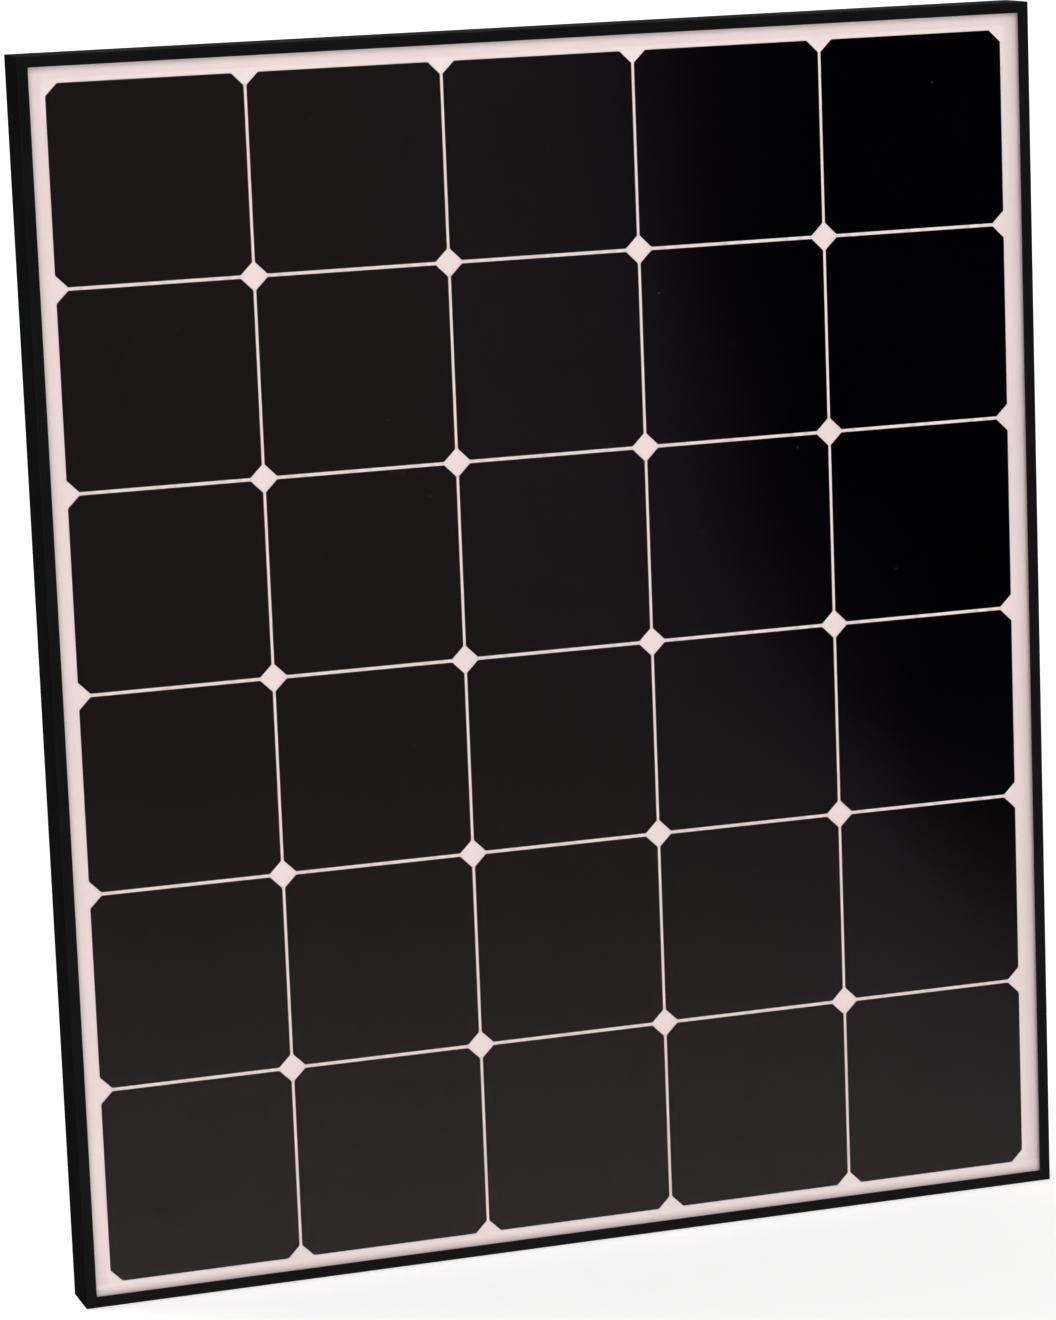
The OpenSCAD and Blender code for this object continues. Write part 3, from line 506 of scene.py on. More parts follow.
def glassMaterial():
    # Clear sheet: what is behind it shows unbent, and its outer side mirrors a little
    made, tree, shader = newMaterial("solarGlass", {})
    tree.nodes.remove(shader)
    place = ownPlace(tree)
    scale, depth = glassLook["texture"]
    normal = bump(tree, noise(tree, place, scale, 2.0), depth)
    smear = noise(tree, place, glassLook["smears"])
    mirror = add(tree, "ShaderNodeBsdfGlossy", {
        "Color": (1, 1, 1, 1), "Roughness": fade(tree, smear, *noiseSpan, *glassLook["rough"]),
        "Normal": normal}, distribution="BECKMANN").outputs[0]
    through = add(tree, "ShaderNodeBsdfTransparent", {"Color": (*glassLook["tint"], 1)}).outputs[0]
    share = add(tree, "ShaderNodeFresnel", {"IOR": glassLook["coating"], "Normal": normal}).outputs[0]
    outside = notIn(tree, add(tree, "ShaderNodeNewGeometry").outputs["Backfacing"])
    share = times(tree, share, outside)
    clear = add(tree, "ShaderNodeMixShader", {0: share, 1: through, 2: mirror}).outputs[0]
    # a few specks of dust: rare Voronoi cells, each with a tiny round grain
    specks = add(tree, "ShaderNodeTexVoronoi", {"Vector": place, "Scale": glassLook["places"]})
    chance = add(tree, "ShaderNodeSeparateColor", {0: specks.outputs["Color"]}).outputs[0]
    rare = sums(tree, "GREATER_THAN", chance, glassLook["bare"])
    grain = fade(tree, specks.outputs["Distance"], *glassLook["speck"])
    dusty = times(tree, times(tree, times(tree, rare, grain), glassLook["dust"]), outside)
    dust = add(tree, "ShaderNodeBsdfDiffuse", {"Color": glassLook["dustColour"]}).outputs[0]
    both = add(tree, "ShaderNodeMixShader", {0: dusty, 1: clear, 2: dust}).outputs[0]
    wire(tree, tree.nodes["Material Output"], {0: both})
    return made


def clearFilmMaterial():
    # Cured encapsulant: fully clear, with a very faint milky unevenness
    made, tree, shader = newMaterial("clearFilm", {})
    tree.nodes.remove(shader)
    tint = mixColour(tree, noise(tree, ownPlace(tree), glassLook["filmHaze"], 3.0), *glassLook["film"])
    through = add(tree, "ShaderNodeBsdfTransparent", {"Color": tint}).outputs[0]
    wire(tree, tree.nodes["Material Output"], {0: through})
    return made


# the field of cells: width of a cell, and the pitch of columns and rows
cellWidth = strings[0]["x1"] - strings[0]["x0"]
columnPitch = strings[1]["x0"] - strings[0]["x0"]
rowPitch = (strings[0]["z1"] - strings[0]["z0"] - cellWidth) / 5

cellLook = {
    "tones": ((0.00012, 0.00014, 0.0004), (0.0006, 0.0005, 0.0012)),
    "blue": (0.0008, 0.0010, 0.0030),
    "shift": 0.6,                      # how much one cell differs from the next
    "grain": 380.0,
    "depth": 0.004 * mm,
    "rim": (0.470, 0.492),             # where the bluer rim starts and ends, as a share of the pitch
    "rimShare": 0.35,
    "corner": 7.7 * mm,                # side of the cut across a cell's corner
}


def cellMaterial():
    # Near-black silicon: each cell has its own tone, with a faint grain and bluer rims
    made, tree, shader = newMaterial("siliconCell", {"Specular IOR Level": 0.0, "Roughness": 0.4})
    place = ownPlace(tree)
    x, _, z = parts(tree, place)
    column = sums(tree, "DIVIDE", minus(tree, x, strings[0]["x0"]), columnPitch)
    row = sums(tree, "DIVIDE", minus(tree, strings[0]["z1"], z), rowPitch)
    number = add(tree, "ShaderNodeCombineXYZ",
                 {0: sums(tree, "FLOOR", column), 1: sums(tree, "FLOOR", row)}).outputs[0]
    own = add(tree, "ShaderNodeTexWhiteNoise", {"Vector": number}, noise_dimensions="2D").outputs[0]
    grain = noise(tree, place, cellLook["grain"], 3.0)
    tone = plus(tree, times(tree, own, cellLook["shift"]), times(tree, grain, 1 - cellLook["shift"]))
    middleX = apart(tree, sums(tree, "FRACT", column), cellWidth / columnPitch / 2)
    middleZ = apart(tree, sums(tree, "FRACT", row), cellWidth / rowPitch / 2)
    rim = fade(tree, larger(tree, middleX, middleZ), *cellLook["rim"], 0.0, cellLook["rimShare"])
    colour = mixColour(tree, rim, mixColour(tree, tone, *cellLook["tones"]), cellLook["blue"])
    wire(tree, shader, {"Base Color": colour, "Normal": bump(tree, grain, cellLook["depth"])})
    return made


tinLooks = {
    "ribbonTin": {"dark": (0.52, 0.52, 0.51), "light": (0.74, 0.74, 0.73), "rough": (0.22, 0.42)},
    "terminalTin": {"dark": (0.17, 0.17, 0.165), "light": (0.27, 0.27, 0.26), "rough": (0.34, 0.5)},
}
tinLooks["maskedTin"] = tinLooks["ribbonTin"]      # the same ribbon, with a white mask in front
tinPatches = 180.0                     # scale of the dull patches
tinRipple = (320.0, 0.03 * mm)         # scale and depth of the ripples


def tinMaterial(name):
    # Hot-dipped tin: soft ripples and small dull patches; a masked one is painted white in front
    look = tinLooks[name]
    made, tree, shader = newMaterial(name, {"Metallic": 1.0})
    place = ownPlace(tree)
    patches = noise(tree, place, tinPatches, 5.0)
    tin = mixColour(tree, fade(tree, patches, 0.35, 0.7), look["dark"], look["light"])
    if name == "maskedTin":
        front = sums(tree, "LESS_THAN", parts(tree, facing(tree))[1], -0.5)
        # the mask takes the gaps' colour, painted light included
        tin = mixColour(tree, front, tin, filmLook["gap"])
        wire(tree, shader, {"Metallic": notIn(tree, front)})
    scale, depth = tinRipple
    wire(tree, shader, {"Base Color": tin, "Roughness": fade(tree, patches, 0.3, 0.75, *look["rough"]),
                        "Normal": bump(tree, noise(tree, place, scale, 2.0), depth)})
    return made


def gapLightShare(tree, x, z):
    # 1 along the narrow gaps between cells, where painted light whitens the film against the shade of their
    # recess; 0 at their crossings, behind cells and around the field
    away = []
    for value, start, pitch in ((x, strings[0]["x0"], columnPitch), (z, strings[0]["z0"], rowPitch)):
        along = sums(tree, "FRACT", sums(tree, "DIVIDE", minus(tree, value, start), pitch))
        # metres from the middle of the cell
        away.append(times(tree, apart(tree, along, cellWidth / pitch / 2), pitch))
    straight = cellWidth / 2 - cellLook["corner"]
    gaps = [times(tree, sums(tree, "GREATER_THAN", across, cellWidth / 2 - filmLook["gapReach"]),
                  fade(tree, along, straight, straight - filmLook["gapFade"]))
            for across, along in (away[::-1], away)]
    low, high = strings[0]["z0"], strings[0]["z1"]
    field = times(tree, sums(tree, "LESS_THAN", sums(tree, "ABSOLUTE", x), strings[-1]["x1"]),
                  sums(tree, "LESS_THAN", apart(tree, z, (low + high) / 2), (high - low) / 2))
    return times(tree, larger(tree, *gaps), field)


filmLook = {
    "gap": (0.81, 0.70, 0.70),         # painted light: whiter in the gaps, lifting the shade of the recess as the light the cells' edges throw back would
    "gapReach": 1 * mm,                # how far that runs in behind a cell's edge
    "gapFade": 6 * mm,                 # length over which it starts, beside a crossing
    "front": (0.750, 0.618, 0.630),    # seen through the glass, between the cells
    "light": (0.770, 0.638, 0.650),
    "foot": (0.90, 0.765, 0.775),      # painted light: whiter along the foot, offsetting the bottom lip's shade
    "footFade": (1 * mm, -3.5 * mm),   # its start and end, from the cells' lower edge
    "rear": ((0.70, 0.695, 0.69), (0.75, 0.745, 0.74)),
    "rough": (0.36, 0.5),
    "cloudScale": 9.0,
    "emboss": (1400.0, 0.012 * mm),    # scale and depth of the fine skin
}


def backsheetMaterial():
    # White polymer film: a warm matt front, and a cooler, slightly glossy rear with a fine emboss
    made, tree, shader = newMaterial("whiteFilm", {"Specular IOR Level": 0.35})
    place = ownPlace(tree)
    cloud = noise(tree, place, filmLook["cloudScale"], 5.0)
    scale, depth = filmLook["emboss"]
    front = sums(tree, "LESS_THAN", parts(tree, facing(tree))[1], 0.0)
    across, _, up = parts(tree, place)
    warm = mottled(tree, cloud, filmLook["front"], filmLook["light"])
    # painted light in the gaps between the cells, lifting the shade of their recess
    warm = mixColour(tree, gapLightShare(tree, across, up), warm, filmLook["gap"])
    # painted light along the foot, offsetting the bottom lip's shade
    warm = mixColour(tree, footLightShare(tree, up), warm, filmLook["foot"])
    cool = mottled(tree, cloud, *filmLook["rear"])
    wire(tree, shader, {"Base Color": mixColour(tree, front, cool, warm),
                        "Roughness": fade(tree, cloud, *noiseSpan, *filmLook["rough"]),
                        "Normal": bump(tree, noise(tree, place, scale, 2.0), depth)})
    return made


labelLook = {
    "paper": ((0.50, 0.51, 0.52), (0.56, 0.57, 0.58)),
    "paperScale": 30.0,
    "fibre": 900.0,
    "rough": (0.28, 0.4),
    "ink": (0.05, 0.052, 0.055),
    "inkShare": 0.85,
    "inkRise": 0.4,                    # beside the fibre's own height
    "depth": 0.008 * mm,
    "line": 0.35 * mm,                 # width of a printed rule
    "inset": 3.5 * mm,                 # border from the label's edge
    "rows": 7,
    "column": 0.42,                    # where the upright rule stands, as a share of the width
}


def labelMaterial():
    # Silvery polyester with a blank printed table: a border, even rules and one upright rule
    made, tree, shader = newMaterial("labelFilm", {})
    label = span("rating_label")
    place = ownPlace(tree)
    x, _, z = parts(tree, place)
    half, inset = labelLook["line"] / 2, labelLook["inset"]
    left, right = label["x0"] + inset, label["x1"] - inset
    low, high = label["z0"] + inset, label["z1"] - inset

    def near(value, at, reach):
        return sums(tree, "LESS_THAN", apart(tree, value, at), reach)

    step = (high - low) / labelLook["rows"]
    share = sums(tree, "FRACT", sums(tree, "DIVIDE", minus(tree, z, low - half), step))
    rules = sums(tree, "LESS_THAN", share, labelLook["line"] / step)
    column = left + (right - left) * labelLook["column"]
    for at in (left, right, column):
        rules = larger(tree, rules, near(x, at, half))
    table = times(tree, near(x, (left + right) / 2, (right - left) / 2 + half),
                  near(z, (low + high) / 2, (high - low) / 2 + half))
    ink = times(tree, rules, table)
    fibre = noise(tree, place, labelLook["fibre"], 2.0)
    paper = mixColour(tree, noise(tree, place, labelLook["paperScale"]), *labelLook["paper"])
    relief = plus(tree, fibre, times(tree, ink, labelLook["inkRise"]))
    wire(tree, shader, {
        "Base Color": mixColour(tree, times(tree, ink, labelLook["inkShare"]), paper, labelLook["ink"]),
        "Roughness": fade(tree, fibre, *noiseSpan, *labelLook["rough"]),
        "Normal": bump(tree, relief, labelLook["depth"])})
    return made


materials = {name: mouldedMaterial(name) for name in looks}
materials.update({
    "uprightRail": anodisedMaterial("uprightRail", (1, 1, 0.01)),
    "levelRail": anodisedMaterial("levelRail", (0.01, 1, 1)),
    "glass": glassMaterial(),
    "clearFilm": clearFilmMaterial(),
    "cell": cellMaterial(),
    "backsheet": backsheetMaterial(),
    "label": labelMaterial(),
})
materials.update({name: tinMaterial(name) for name in tinLooks})
print("materials made")


def roundedOutline(corners, radii, steps):
    # Closed outline whose corners are arcs: each centre lies on its corner's bisector at
    # radius / sin(half angle), and the arc swings evenly between the two tangent points
    corners = np.array(corners, float)
    radii = np.broadcast_to(np.array(radii, float), len(corners))[:, None]
    back = np.roll(corners, 1, 0) - corners
    ahead = np.roll(corners, -1, 0) - corners
    back /= np.linalg.norm(back, axis=1, keepdims=True)
    ahead /= np.linalg.norm(ahead, axis=1, keepdims=True)
    halfAngle = np.arccos(np.clip((back * ahead).sum(1, keepdims=True), -1, 1)) / 2
    bisector = (back + ahead) / np.linalg.norm(back + ahead, axis=1, keepdims=True)
    centre = corners + bisector * radii / np.sin(halfAngle)
    first = corners + back * radii / np.tan(halfAngle) - centre
    last = corners + ahead * radii / np.tan(halfAngle) - centre
    swing = (np.pi - 2 * halfAngle)[:, :, None]
    share = np.linspace(0, 1, steps + 1)[None, :, None]
    arc = (np.sin((1 - share) * swing) * first[:, None] + np.sin(share * swing) * last[:, None])
    return (centre[:, None] + arc / np.sin(swing)).reshape(-1, 2)


def gridQuads(rows, columns, ring=False):
    # Quads between closed rows of a grid of points; ring joins the last row to the first
    row = np.arange(rows if ring else rows - 1)[:, None] * columns
    column = np.arange(columns)[None, :]
    following = (column + 1) % columns
    beyond = (row + columns) % (rows * columns)
    return np.stack([row + column, row + following, beyond + following, beyond + column], -1)


def finishPiece(name, points, faces, material, body, slot, stands, sharp=32):
    # Puts a closed surface into a mesh, faces outward, and hands the piece to its body
    mesh = bpy.data.meshes.new(name)
    mesh.from_pydata(np.asarray(points).tolist(), [], faces)
    work = bmesh.new()
    work.from_mesh(mesh)
    bmesh.ops.remove_doubles(work, verts=work.verts, dist=1e-7)
    loose = [vert for vert in work.verts if not vert.link_faces]
    bmesh.ops.delete(work, geom=loose, context="VERTS")
    bmesh.ops.recalc_face_normals(work, faces=work.faces)
    work.to_mesh(mesh)
    work.free()
    return placePiece(name, mesh, material, body, stands, sharp)


def placePiece(name, mesh, material, body, stands, sharp):
    mesh.shade_smooth()
    mesh.set_sharp_from_angle(angle=math.radians(sharp))
    mesh.materials.clear()
    mesh.materials.append(material)
    piece = bpy.data.objects.new(name, mesh)
    scene.collection.objects.link(piece)
    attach(piece, body)
    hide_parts(*stands)
    return piece


def evenShading(piece):
    # Flats keep their own normals beside narrow arcs
    made = piece.modifiers.new("evenShading", "WEIGHTED_NORMAL")
    made.weight = 80
    made.keep_sharp = True


rail = {
    "wall": sealSpan["x0"] - cadBounds[0][0],
    "flange": span("frame_rail_left")["x1"] - cadBounds[0][0],
    "flangeThick": 1.6 * mm,
    "shelf": 11 * mm,                  # reach of the shelf behind the laminate
    "lip": 7 * mm,                     # reach of the lip over the glass
    "chamberFloor": span("corner_key_top_left")["v0"] - 0.15 * mm,
    "holeLine": 14 * mm,               # from the outer face to the line of the flange holes
    "mountHole": 7 * mm,
    "mountSpacing": 420 * mm,
    "earthHole": 4.2 * mm,
    "drainHole": 4 * mm,
    "drainInset": 70 * mm,
    "frontRound": 0.9 * mm,
    "lipRound": 0.6 * mm,
    "easing": 0.12 * mm,               # the cut ends are broken by this much
    "holeEasing": 0.25 * mm,
}
quarterSteps = 8                       # faces in a quarter of a hole


def railSection():
    # The hollow section: u runs inwards from the outer face, v forwards from the rear face
    wall, flange, thick = rail["wall"], rail["flange"], rail["flangeThick"]
    shelfV, lipV = sealSpan["v0"], sealSpan["v1"]
    chamberV = rail["chamberFloor"] - wall
    corners = [(0, 0), (flange, 0), (flange, thick), (wall, thick), (wall, chamberV),
               (rail["shelf"], chamberV), (rail["shelf"], shelfV), (wall, shelfV),
               (wall, lipV), (rail["lip"], lipV), (rail["lip"], panelDepth), (0, panelDepth)]
    radii = np.array([0.5, 0.4, 0.4, 0.5, 0.5, 0.5, 0.3, 0.2, 0.2, 0.3, 0, 0]) * mm
    radii[-2:] = rail["lipRound"], rail["frontRound"]
    steps = 4
    outer = roundedOutline(corners, radii, steps)
    reach = rail["holeLine"] / 2
    marks = rail["holeLine"] + np.array([-reach, 0, reach])
    rear = steps + 1                   # the marks stand on both faces of the flange
    front = 3 * (steps + 1)
    outer = np.insert(outer, [front] * 3, np.stack([marks[::-1], [thick] * 3], 1), 0)
    outer = np.insert(outer, [rear] * 3, np.stack([marks, [0] * 3], 1), 0)
    inner = roundedOutline([(wall, rail["chamberFloor"]), (rail["shelf"] - wall, rail["chamberFloor"]),
                            (rail["shelf"] - wall, shelfV - wall), (wall, shelfV - wall)], 0.3 * mm, steps)
    return outer, inner, rear, front + 3


def outward(outline):
    along = np.roll(outline, -1, 0) - np.roll(outline, 1, 0)
    along /= np.linalg.norm(along, axis=1, keepdims=True)
    return np.stack([along[:, 1], -along[:, 0]], 1)


def flangeHole(place, diameter, patch):
    # One hole: four corner patches on each face of the flange, and a chamfered wall between them
    radius, ease, thick = diameter / 2, rail["holeEasing"], rail["flangeThick"]
    angle = np.linspace(0, 2 * np.pi, 4 * quarterSteps + 1)[:-1]
    circle = np.stack([np.cos(angle), np.sin(angle)], 1)
    rings = [(radius + ease, 0), (radius, ease), (radius, thick - ease), (radius + ease, thick)]
    points = np.concatenate([np.column_stack([rail["holeLine"] + wide * circle[:, 0],
                                              np.full(len(circle), deep), place + wide * circle[:, 1]])
                             for wide, deep in rings])
    faces = gridQuads(4, len(circle)).reshape(-1, 4).tolist()
    corners = np.array([(1, 0), (1, 1), (0, 1), (-1, 1), (-1, 0), (-1, -1), (0, -1), (1, -1)]) * patch
    for ring, deep in ((0, 0), (3, thick)):
        base = len(points)
        square = np.column_stack([rail["holeLine"] + corners[:, 0], np.full(8, deep), place + corners[:, 1]])
        points = np.concatenate([points, square])
        for quarter in range(4):
            arc = (np.arange(quarterSteps, -1, -1) + quarter * quarterSteps) % len(circle)
            rim = [base + 2 * quarter, base + 2 * quarter + 1, base + (2 * quarter + 2) % 8]
            faces.append(rim + (arc + ring * len(circle)).tolist())
    return points, faces


def railShape(length, holes):
    # The section carried along a straight path between two mitre planes, z = half length - u
    outer, inner, rear, front = railSection()
    ease, patch = rail["easing"], rail["holeLine"] / 2
    inset = outer - outward(outer) * ease
    half = length / 2
    places = sorted(place + shift for place, diameter in holes for shift in (-patch, 0, patch))
    ends = [(inset, -(half - inset[:, 0])), (outer, -(half - outer[:, 0] - ease))]
    middle = [(outer, np.full(len(outer), place)) for place in places]
    rows = ends + middle + [(outline, -along) for outline, along in reversed(ends)]
    points = np.concatenate([np.column_stack([outline, along]) for outline, along in rows])
    quads = gridQuads(len(rows), len(outer))
    keep = np.ones(quads.shape[:2], bool)
    for number in range(len(holes)):
        start = 2 + 3 * number
        for column in (rear, front):
            keep[start:start + 2, column:column + 2] = False
    faces = quads[keep].tolist()
    for place, diameter in holes:
        holePoints, holeFaces = flangeHole(place, diameter, patch)
        faces += [[index + len(points) for index in face] for face in holeFaces]
        points = np.concatenate([points, holePoints])
    chamber = len(points)
    for side in (-1, 1):
        points = np.concatenate([points, np.column_stack([inner, side * (half - inner[:, 0])])])
    faces += (gridQuads(2, len(inner)).reshape(-1, 4) + chamber).tolist()
    for row, start in ((0, chamber), (len(rows) - 1, chamber + len(inner))):
        loops = [np.arange(len(outer)) + row * len(outer), np.arange(len(inner)) + start]
        flat = [[Vector((*points[index][:2], 0)) for index in loop] for loop in loops]
        numbers = np.concatenate(loops)
        faces += [numbers[list(triangle)].tolist() for triangle in tessellate_polygon(flat)]
    return points, faces


def makeRails():
    spacing, drain = rail["mountSpacing"] / 2, panelWidth / 2 - rail["drainInset"]
    mounts = [(-spacing, rail["mountHole"]), (0, rail["earthHole"]), (spacing, rail["mountHole"])]
    drains = [(-drain, rail["drainHole"]), (drain, rail["drainHole"])]
    halfW, halfH = panelWidth / 2, panelHeight / 2
    upright, level = railShape(panelHeight, mounts), railShape(panelWidth, drains)
    for side, sign in (("left", -1), ("right", 1), ("top", 1), ("bottom", -1)):
        standing = side in ("left", "right")
        shape, faces = upright if standing else level
        u, v, along = shape.T
        points = [sign * (halfW - u), -v, along] if standing else [along, -v, sign * (halfH - u)]
        look = materials["uprightRail" if standing else "levelRail"]
        evenShading(finishPiece("rail" + side.capitalize(), np.column_stack(points), faces, look, "module",
                                "frame_black", ["frame_rail_" + side]))


makeRails()
print("rails made")


sheets = {
    "arris": 0.6 * mm,                 # ground edge of the glass
    "clearance": 0.015 * mm,           # keeps touching faces of clear layers apart
}


def plateShape(width, height, profile, radius, steps, middle=(0, 0)):
    # Rounded rectangles stacked through the thickness; profile gives the inset and depth of each
    loops = []
    for inset, deep in profile:
        w, h = width / 2 - inset, height / 2 - inset
        plan = roundedOutline([(-w, -h), (w, -h), (w, h), (-w, h)], max(radius - inset, 0.05 * mm), steps)
        plan = plan + middle
        loops.append(np.column_stack([plan[:, 0], np.full(len(plan), -deep), plan[:, 1]]))
    count = len(loops[0])
    faces = gridQuads(len(loops), count).reshape(-1, 4).tolist()
    faces.append(list(range(count)))
    faces.append(list(range(count * (len(loops) - 1), count * len(loops))))
    return np.concatenate(loops), faces


def easedProfile(v0, v1, ease):
    # Quarter round at both faces of a plate between two depths
    angle = np.linspace(0, np.pi / 2, 4)
    rear = [(ease * (1 - np.sin(a)), v0 + ease * (1 - np.cos(a))) for a in angle]
    return rear + [(inset, v0 + v1 - deep) for inset, deep in reversed(rear)]


def makeClearSheets():
    gap = sheets["clearance"]
    width, height = glassSpan["x1"] - glassSpan["x0"], glassSpan["z1"] - glassSpan["z0"]
    points, faces = plateShape(width, height, easedProfile(glassSpan["v0"] + gap, glassSpan["v1"],
                                                           sheets["arris"]), 1.5 * mm, 5)
    evenShading(finishPiece("glassPane", points, faces, materials["glass"], "module", "solar_glass",
                            ["front_glass"]))
    points, faces = plateShape(width, height, [(0, filmSpan["v0"] + gap), (0, filmSpan["v1"] - gap)],
                               1.5 * mm, 5)
    finishPiece("frontFilm", points, faces, materials["clearFilm"], "module", "clear_encapsulant",
                ["front_encapsulant"])


emboss = {
    "gap": 0.15 * mm,                  # how far the sheet sinks between the cells
    "cell": 0.07 * mm,                 # and over a cell, beside the ribbons
    "slope": 1.1 * mm,                 # width of each step
    "border": 0.2 * mm,                # no line of the grid lies this near the sheet's edge
    "near": 0.22 * mm,                 # nor this near the line before it
    "drape": 0.75 * mm,                # how far beside a ribbon the sheet lifts off it
    "forward": 0.58 * mm,              # how far its front stands out wherever no ribbon lies
    "padPitch": 42 * mm,
    "bone": (12 * mm, 3.65 * mm),      # width, and reach from the middle of the gap
    "tab": (8 * mm, 27 * mm),          # width, and how far it runs in from the cells' ends
    "topBuses": ((0, 1), (2, 3), (4, 4)),
    "bottomBuses": ((0, 0), (1, 2), (3, 4)),
    "busOver": 48 * mm,                # a bus ribbon runs this far past its outer strings' centres
    "ribbon": 5 * mm,
    "slot": (3 * mm, 0.5 * mm),        # half width, and clearance of the slots for the leads
}


def softStep(value, edge, slope):
    share = np.clip((value - edge) / slope + 0.5, 0, 1)
    return share * share * (3 - 2 * share)


def raisedPatch(x, z, x0, z0, x1, z1):
    # 1 inside the rectangle, easing to 0 across its edges
    slope = emboss["slope"]
    wide = softStep(x, x0, slope) * (1 - softStep(x, x1, slope))
    return wide * softStep(z, z0, slope) * (1 - softStep(z, z1, slope))


def hiddenPatches():
    # Rectangles of what lies behind the sheet: the cells, and the ribbons over them
    low, high = strings[0]["z0"], strings[0]["z1"]
    centres = [(each["x0"] + each["x1"]) / 2 for each in strings]
    tops = [high - row * rowPitch for row in range(6)]
    cells = [(x - cellWidth / 2, top - cellWidth, x + cellWidth / 2, top) for x in centres for top in tops]
    pads = [x + side * emboss["padPitch"] for x in centres for side in (-1, 0, 1)]
    boneWide, boneReach = emboss["bone"]
    seams = [top + (rowPitch - cellWidth) / 2 for top in tops[1:]]
    ribbons = [(x - boneWide / 2, z - boneReach, x + boneWide / 2, z + boneReach)
               for x in pads for z in seams]
    tabWide, tabEnd = emboss["tab"]
    topBus, bottomBus = span("bus_ribbons_top"), span("bus_ribbons_bottom")
    ribbons += [(x - tabWide / 2, high - tabEnd, x + tabWide / 2, topBus["z1"]) for x in pads]
    ribbons += [(x - tabWide / 2, bottomBus["z0"], x + tabWide / 2, low + tabEnd) for x in pads]
    for bus, pairs in ((topBus, emboss["topBuses"]), (bottomBus, emboss["bottomBuses"])):
        ribbons += [(centres[a] - emboss["busOver"], bus["z0"], centres[b] + emboss["busOver"], bus["z1"])
                    for a, b in pairs]
    wide = emboss["ribbon"]
    left, right, centre = (span("collector_ribbon_" + side) for side in ("left", "right", "centre"))
    ribbons += [(left["x0"], left["z0"], left["x0"] + wide, left["z1"]),
                (left["x0"], left["z1"] - wide, left["x1"], left["z1"]),
                (right["x1"] - wide, right["z0"], right["x1"], right["z1"]),
                (right["x0"], right["z0"], right["x1"], right["z0"] + wide),
                (centre["x0"], centre["z0"], centre["x1"], centre["z1"])]
    ribbons = np.array(ribbons) + np.array([-1, -1, 1, 1]) * emboss["drape"]
    return cells, ribbons.tolist()


def leadSlots():
    half, gap = emboss["slot"]
    found = []
    for side in ("left", "centre", "right"):
        lead = span("lead_" + side)
        middle = (lead["x0"] + lead["x1"]) / 2
        riser = lead["z1"] - emboss["ribbon"]          # the lead turns at its ribbon's lower edge
        found.append((middle - half, riser - 0.3 * mm - gap, middle + half, riser + gap))
    return found


def slottedSheet(xs, zs, rearV, frontV, slots):
    # Closed slab over a grid of lines, with a wall wherever a kept square meets an open one
    x, z = np.meshgrid(xs, zs, indexing="ij")
    count = x.size
    points = np.concatenate([np.stack([x, -rearV, z], -1).reshape(-1, 3),
                             np.stack([x, -frontV, z], -1).reshape(-1, 3)])
    number = np.arange(count).reshape(x.shape)
    quads = np.stack([number[:-1, :-1], number[1:, :-1], number[1:, 1:], number[:-1, 1:]], -1)
    kept = np.pad(~slots, 1)
    faces = [quads[~slots], quads[~slots] + count]
    inner = kept[1:-1, 1:-1]
    walls = (((0, 3), kept[:-2, 1:-1]), ((1, 2), kept[2:, 1:-1]),
             ((0, 1), kept[1:-1, :-2]), ((3, 2), kept[1:-1, 2:]))
    for (a, b), beyond in walls:
        edge = quads[inner & ~beyond]
        faces.append(np.stack([edge[:, a], edge[:, b], edge[:, b] + count, edge[:, a] + count], 1))
    return points, np.concatenate(faces).tolist()


def gridLines(edges, start, end):
    # Lines beside every edge, so that each soft step has its own strips
    offsets = emboss["slope"] * np.array([-0.5, -0.17, 0.17, 0.5])
    lines = (np.unique(np.round(edges, 6))[:, None] + offsets).ravel()
    border, near = emboss["border"], emboss["near"]
    lines = np.unique(np.round(lines[(lines > start + border) & (lines < end - border)], 6))
    far = np.concatenate([[True], np.diff(lines) > near])
    return np.concatenate([[start], lines[far], [end]])


def makeBacksheet():
    cells, ribbons = hiddenPatches()
    slots = leadSlots()
    edgesX = np.array([[p[0], p[2]] for p in cells + ribbons]).ravel()
    edgesZ = np.array([[p[1], p[3]] for p in cells + ribbons]).ravel()
    xs = gridLines(edgesX, backSpan["x0"], backSpan["x1"])
    zs = gridLines(edgesZ, backSpan["z0"], backSpan["z1"])
    slotX = np.array([[s[0], s[2]] for s in slots]).ravel()
    slotZ = np.array([slots[0][1], slots[0][3]])
    xs, zs = (np.unique(np.concatenate([lines[np.abs(lines[:, None] - cuts).min(1) > 0.1 * mm], cuts]))
              for lines, cuts in ((xs, slotX), (zs, slotZ)))
    x, z = np.meshgrid(xs, zs, indexing="ij")
    cellRise = np.max([raisedPatch(x, z, *patch) for patch in cells], axis=0)
    ribbonRise = np.max([raisedPatch(x, z, *patch) for patch in ribbons], axis=0)
    sunk = emboss["gap"] + (emboss["cell"] - emboss["gap"]) * cellRise
    rearV = backSpan["v0"] + sunk * (1 - ribbonRise)
    frontV = backSpan["v1"] + emboss["forward"] * (1 - ribbonRise)
    middleX, middleZ = (xs[:-1] + xs[1:]) / 2, (zs[:-1] + zs[1:]) / 2
    cut = np.zeros((len(middleX), len(middleZ)), bool)
    for x0, z0, x1, z1 in slots:
        cut |= ((middleX > x0) & (middleX < x1))[:, None] & ((middleZ > z0) & (middleZ < z1))[None, :]
    points, faces = slottedSheet(xs, zs, rearV, frontV, cut)
    finishPiece("whiteBacksheet", points, faces, materials["backsheet"], "module", "white_film",
                ["backsheet", "rear_encapsulant"], 40)
    print("backsheet has", len(faces), "faces")


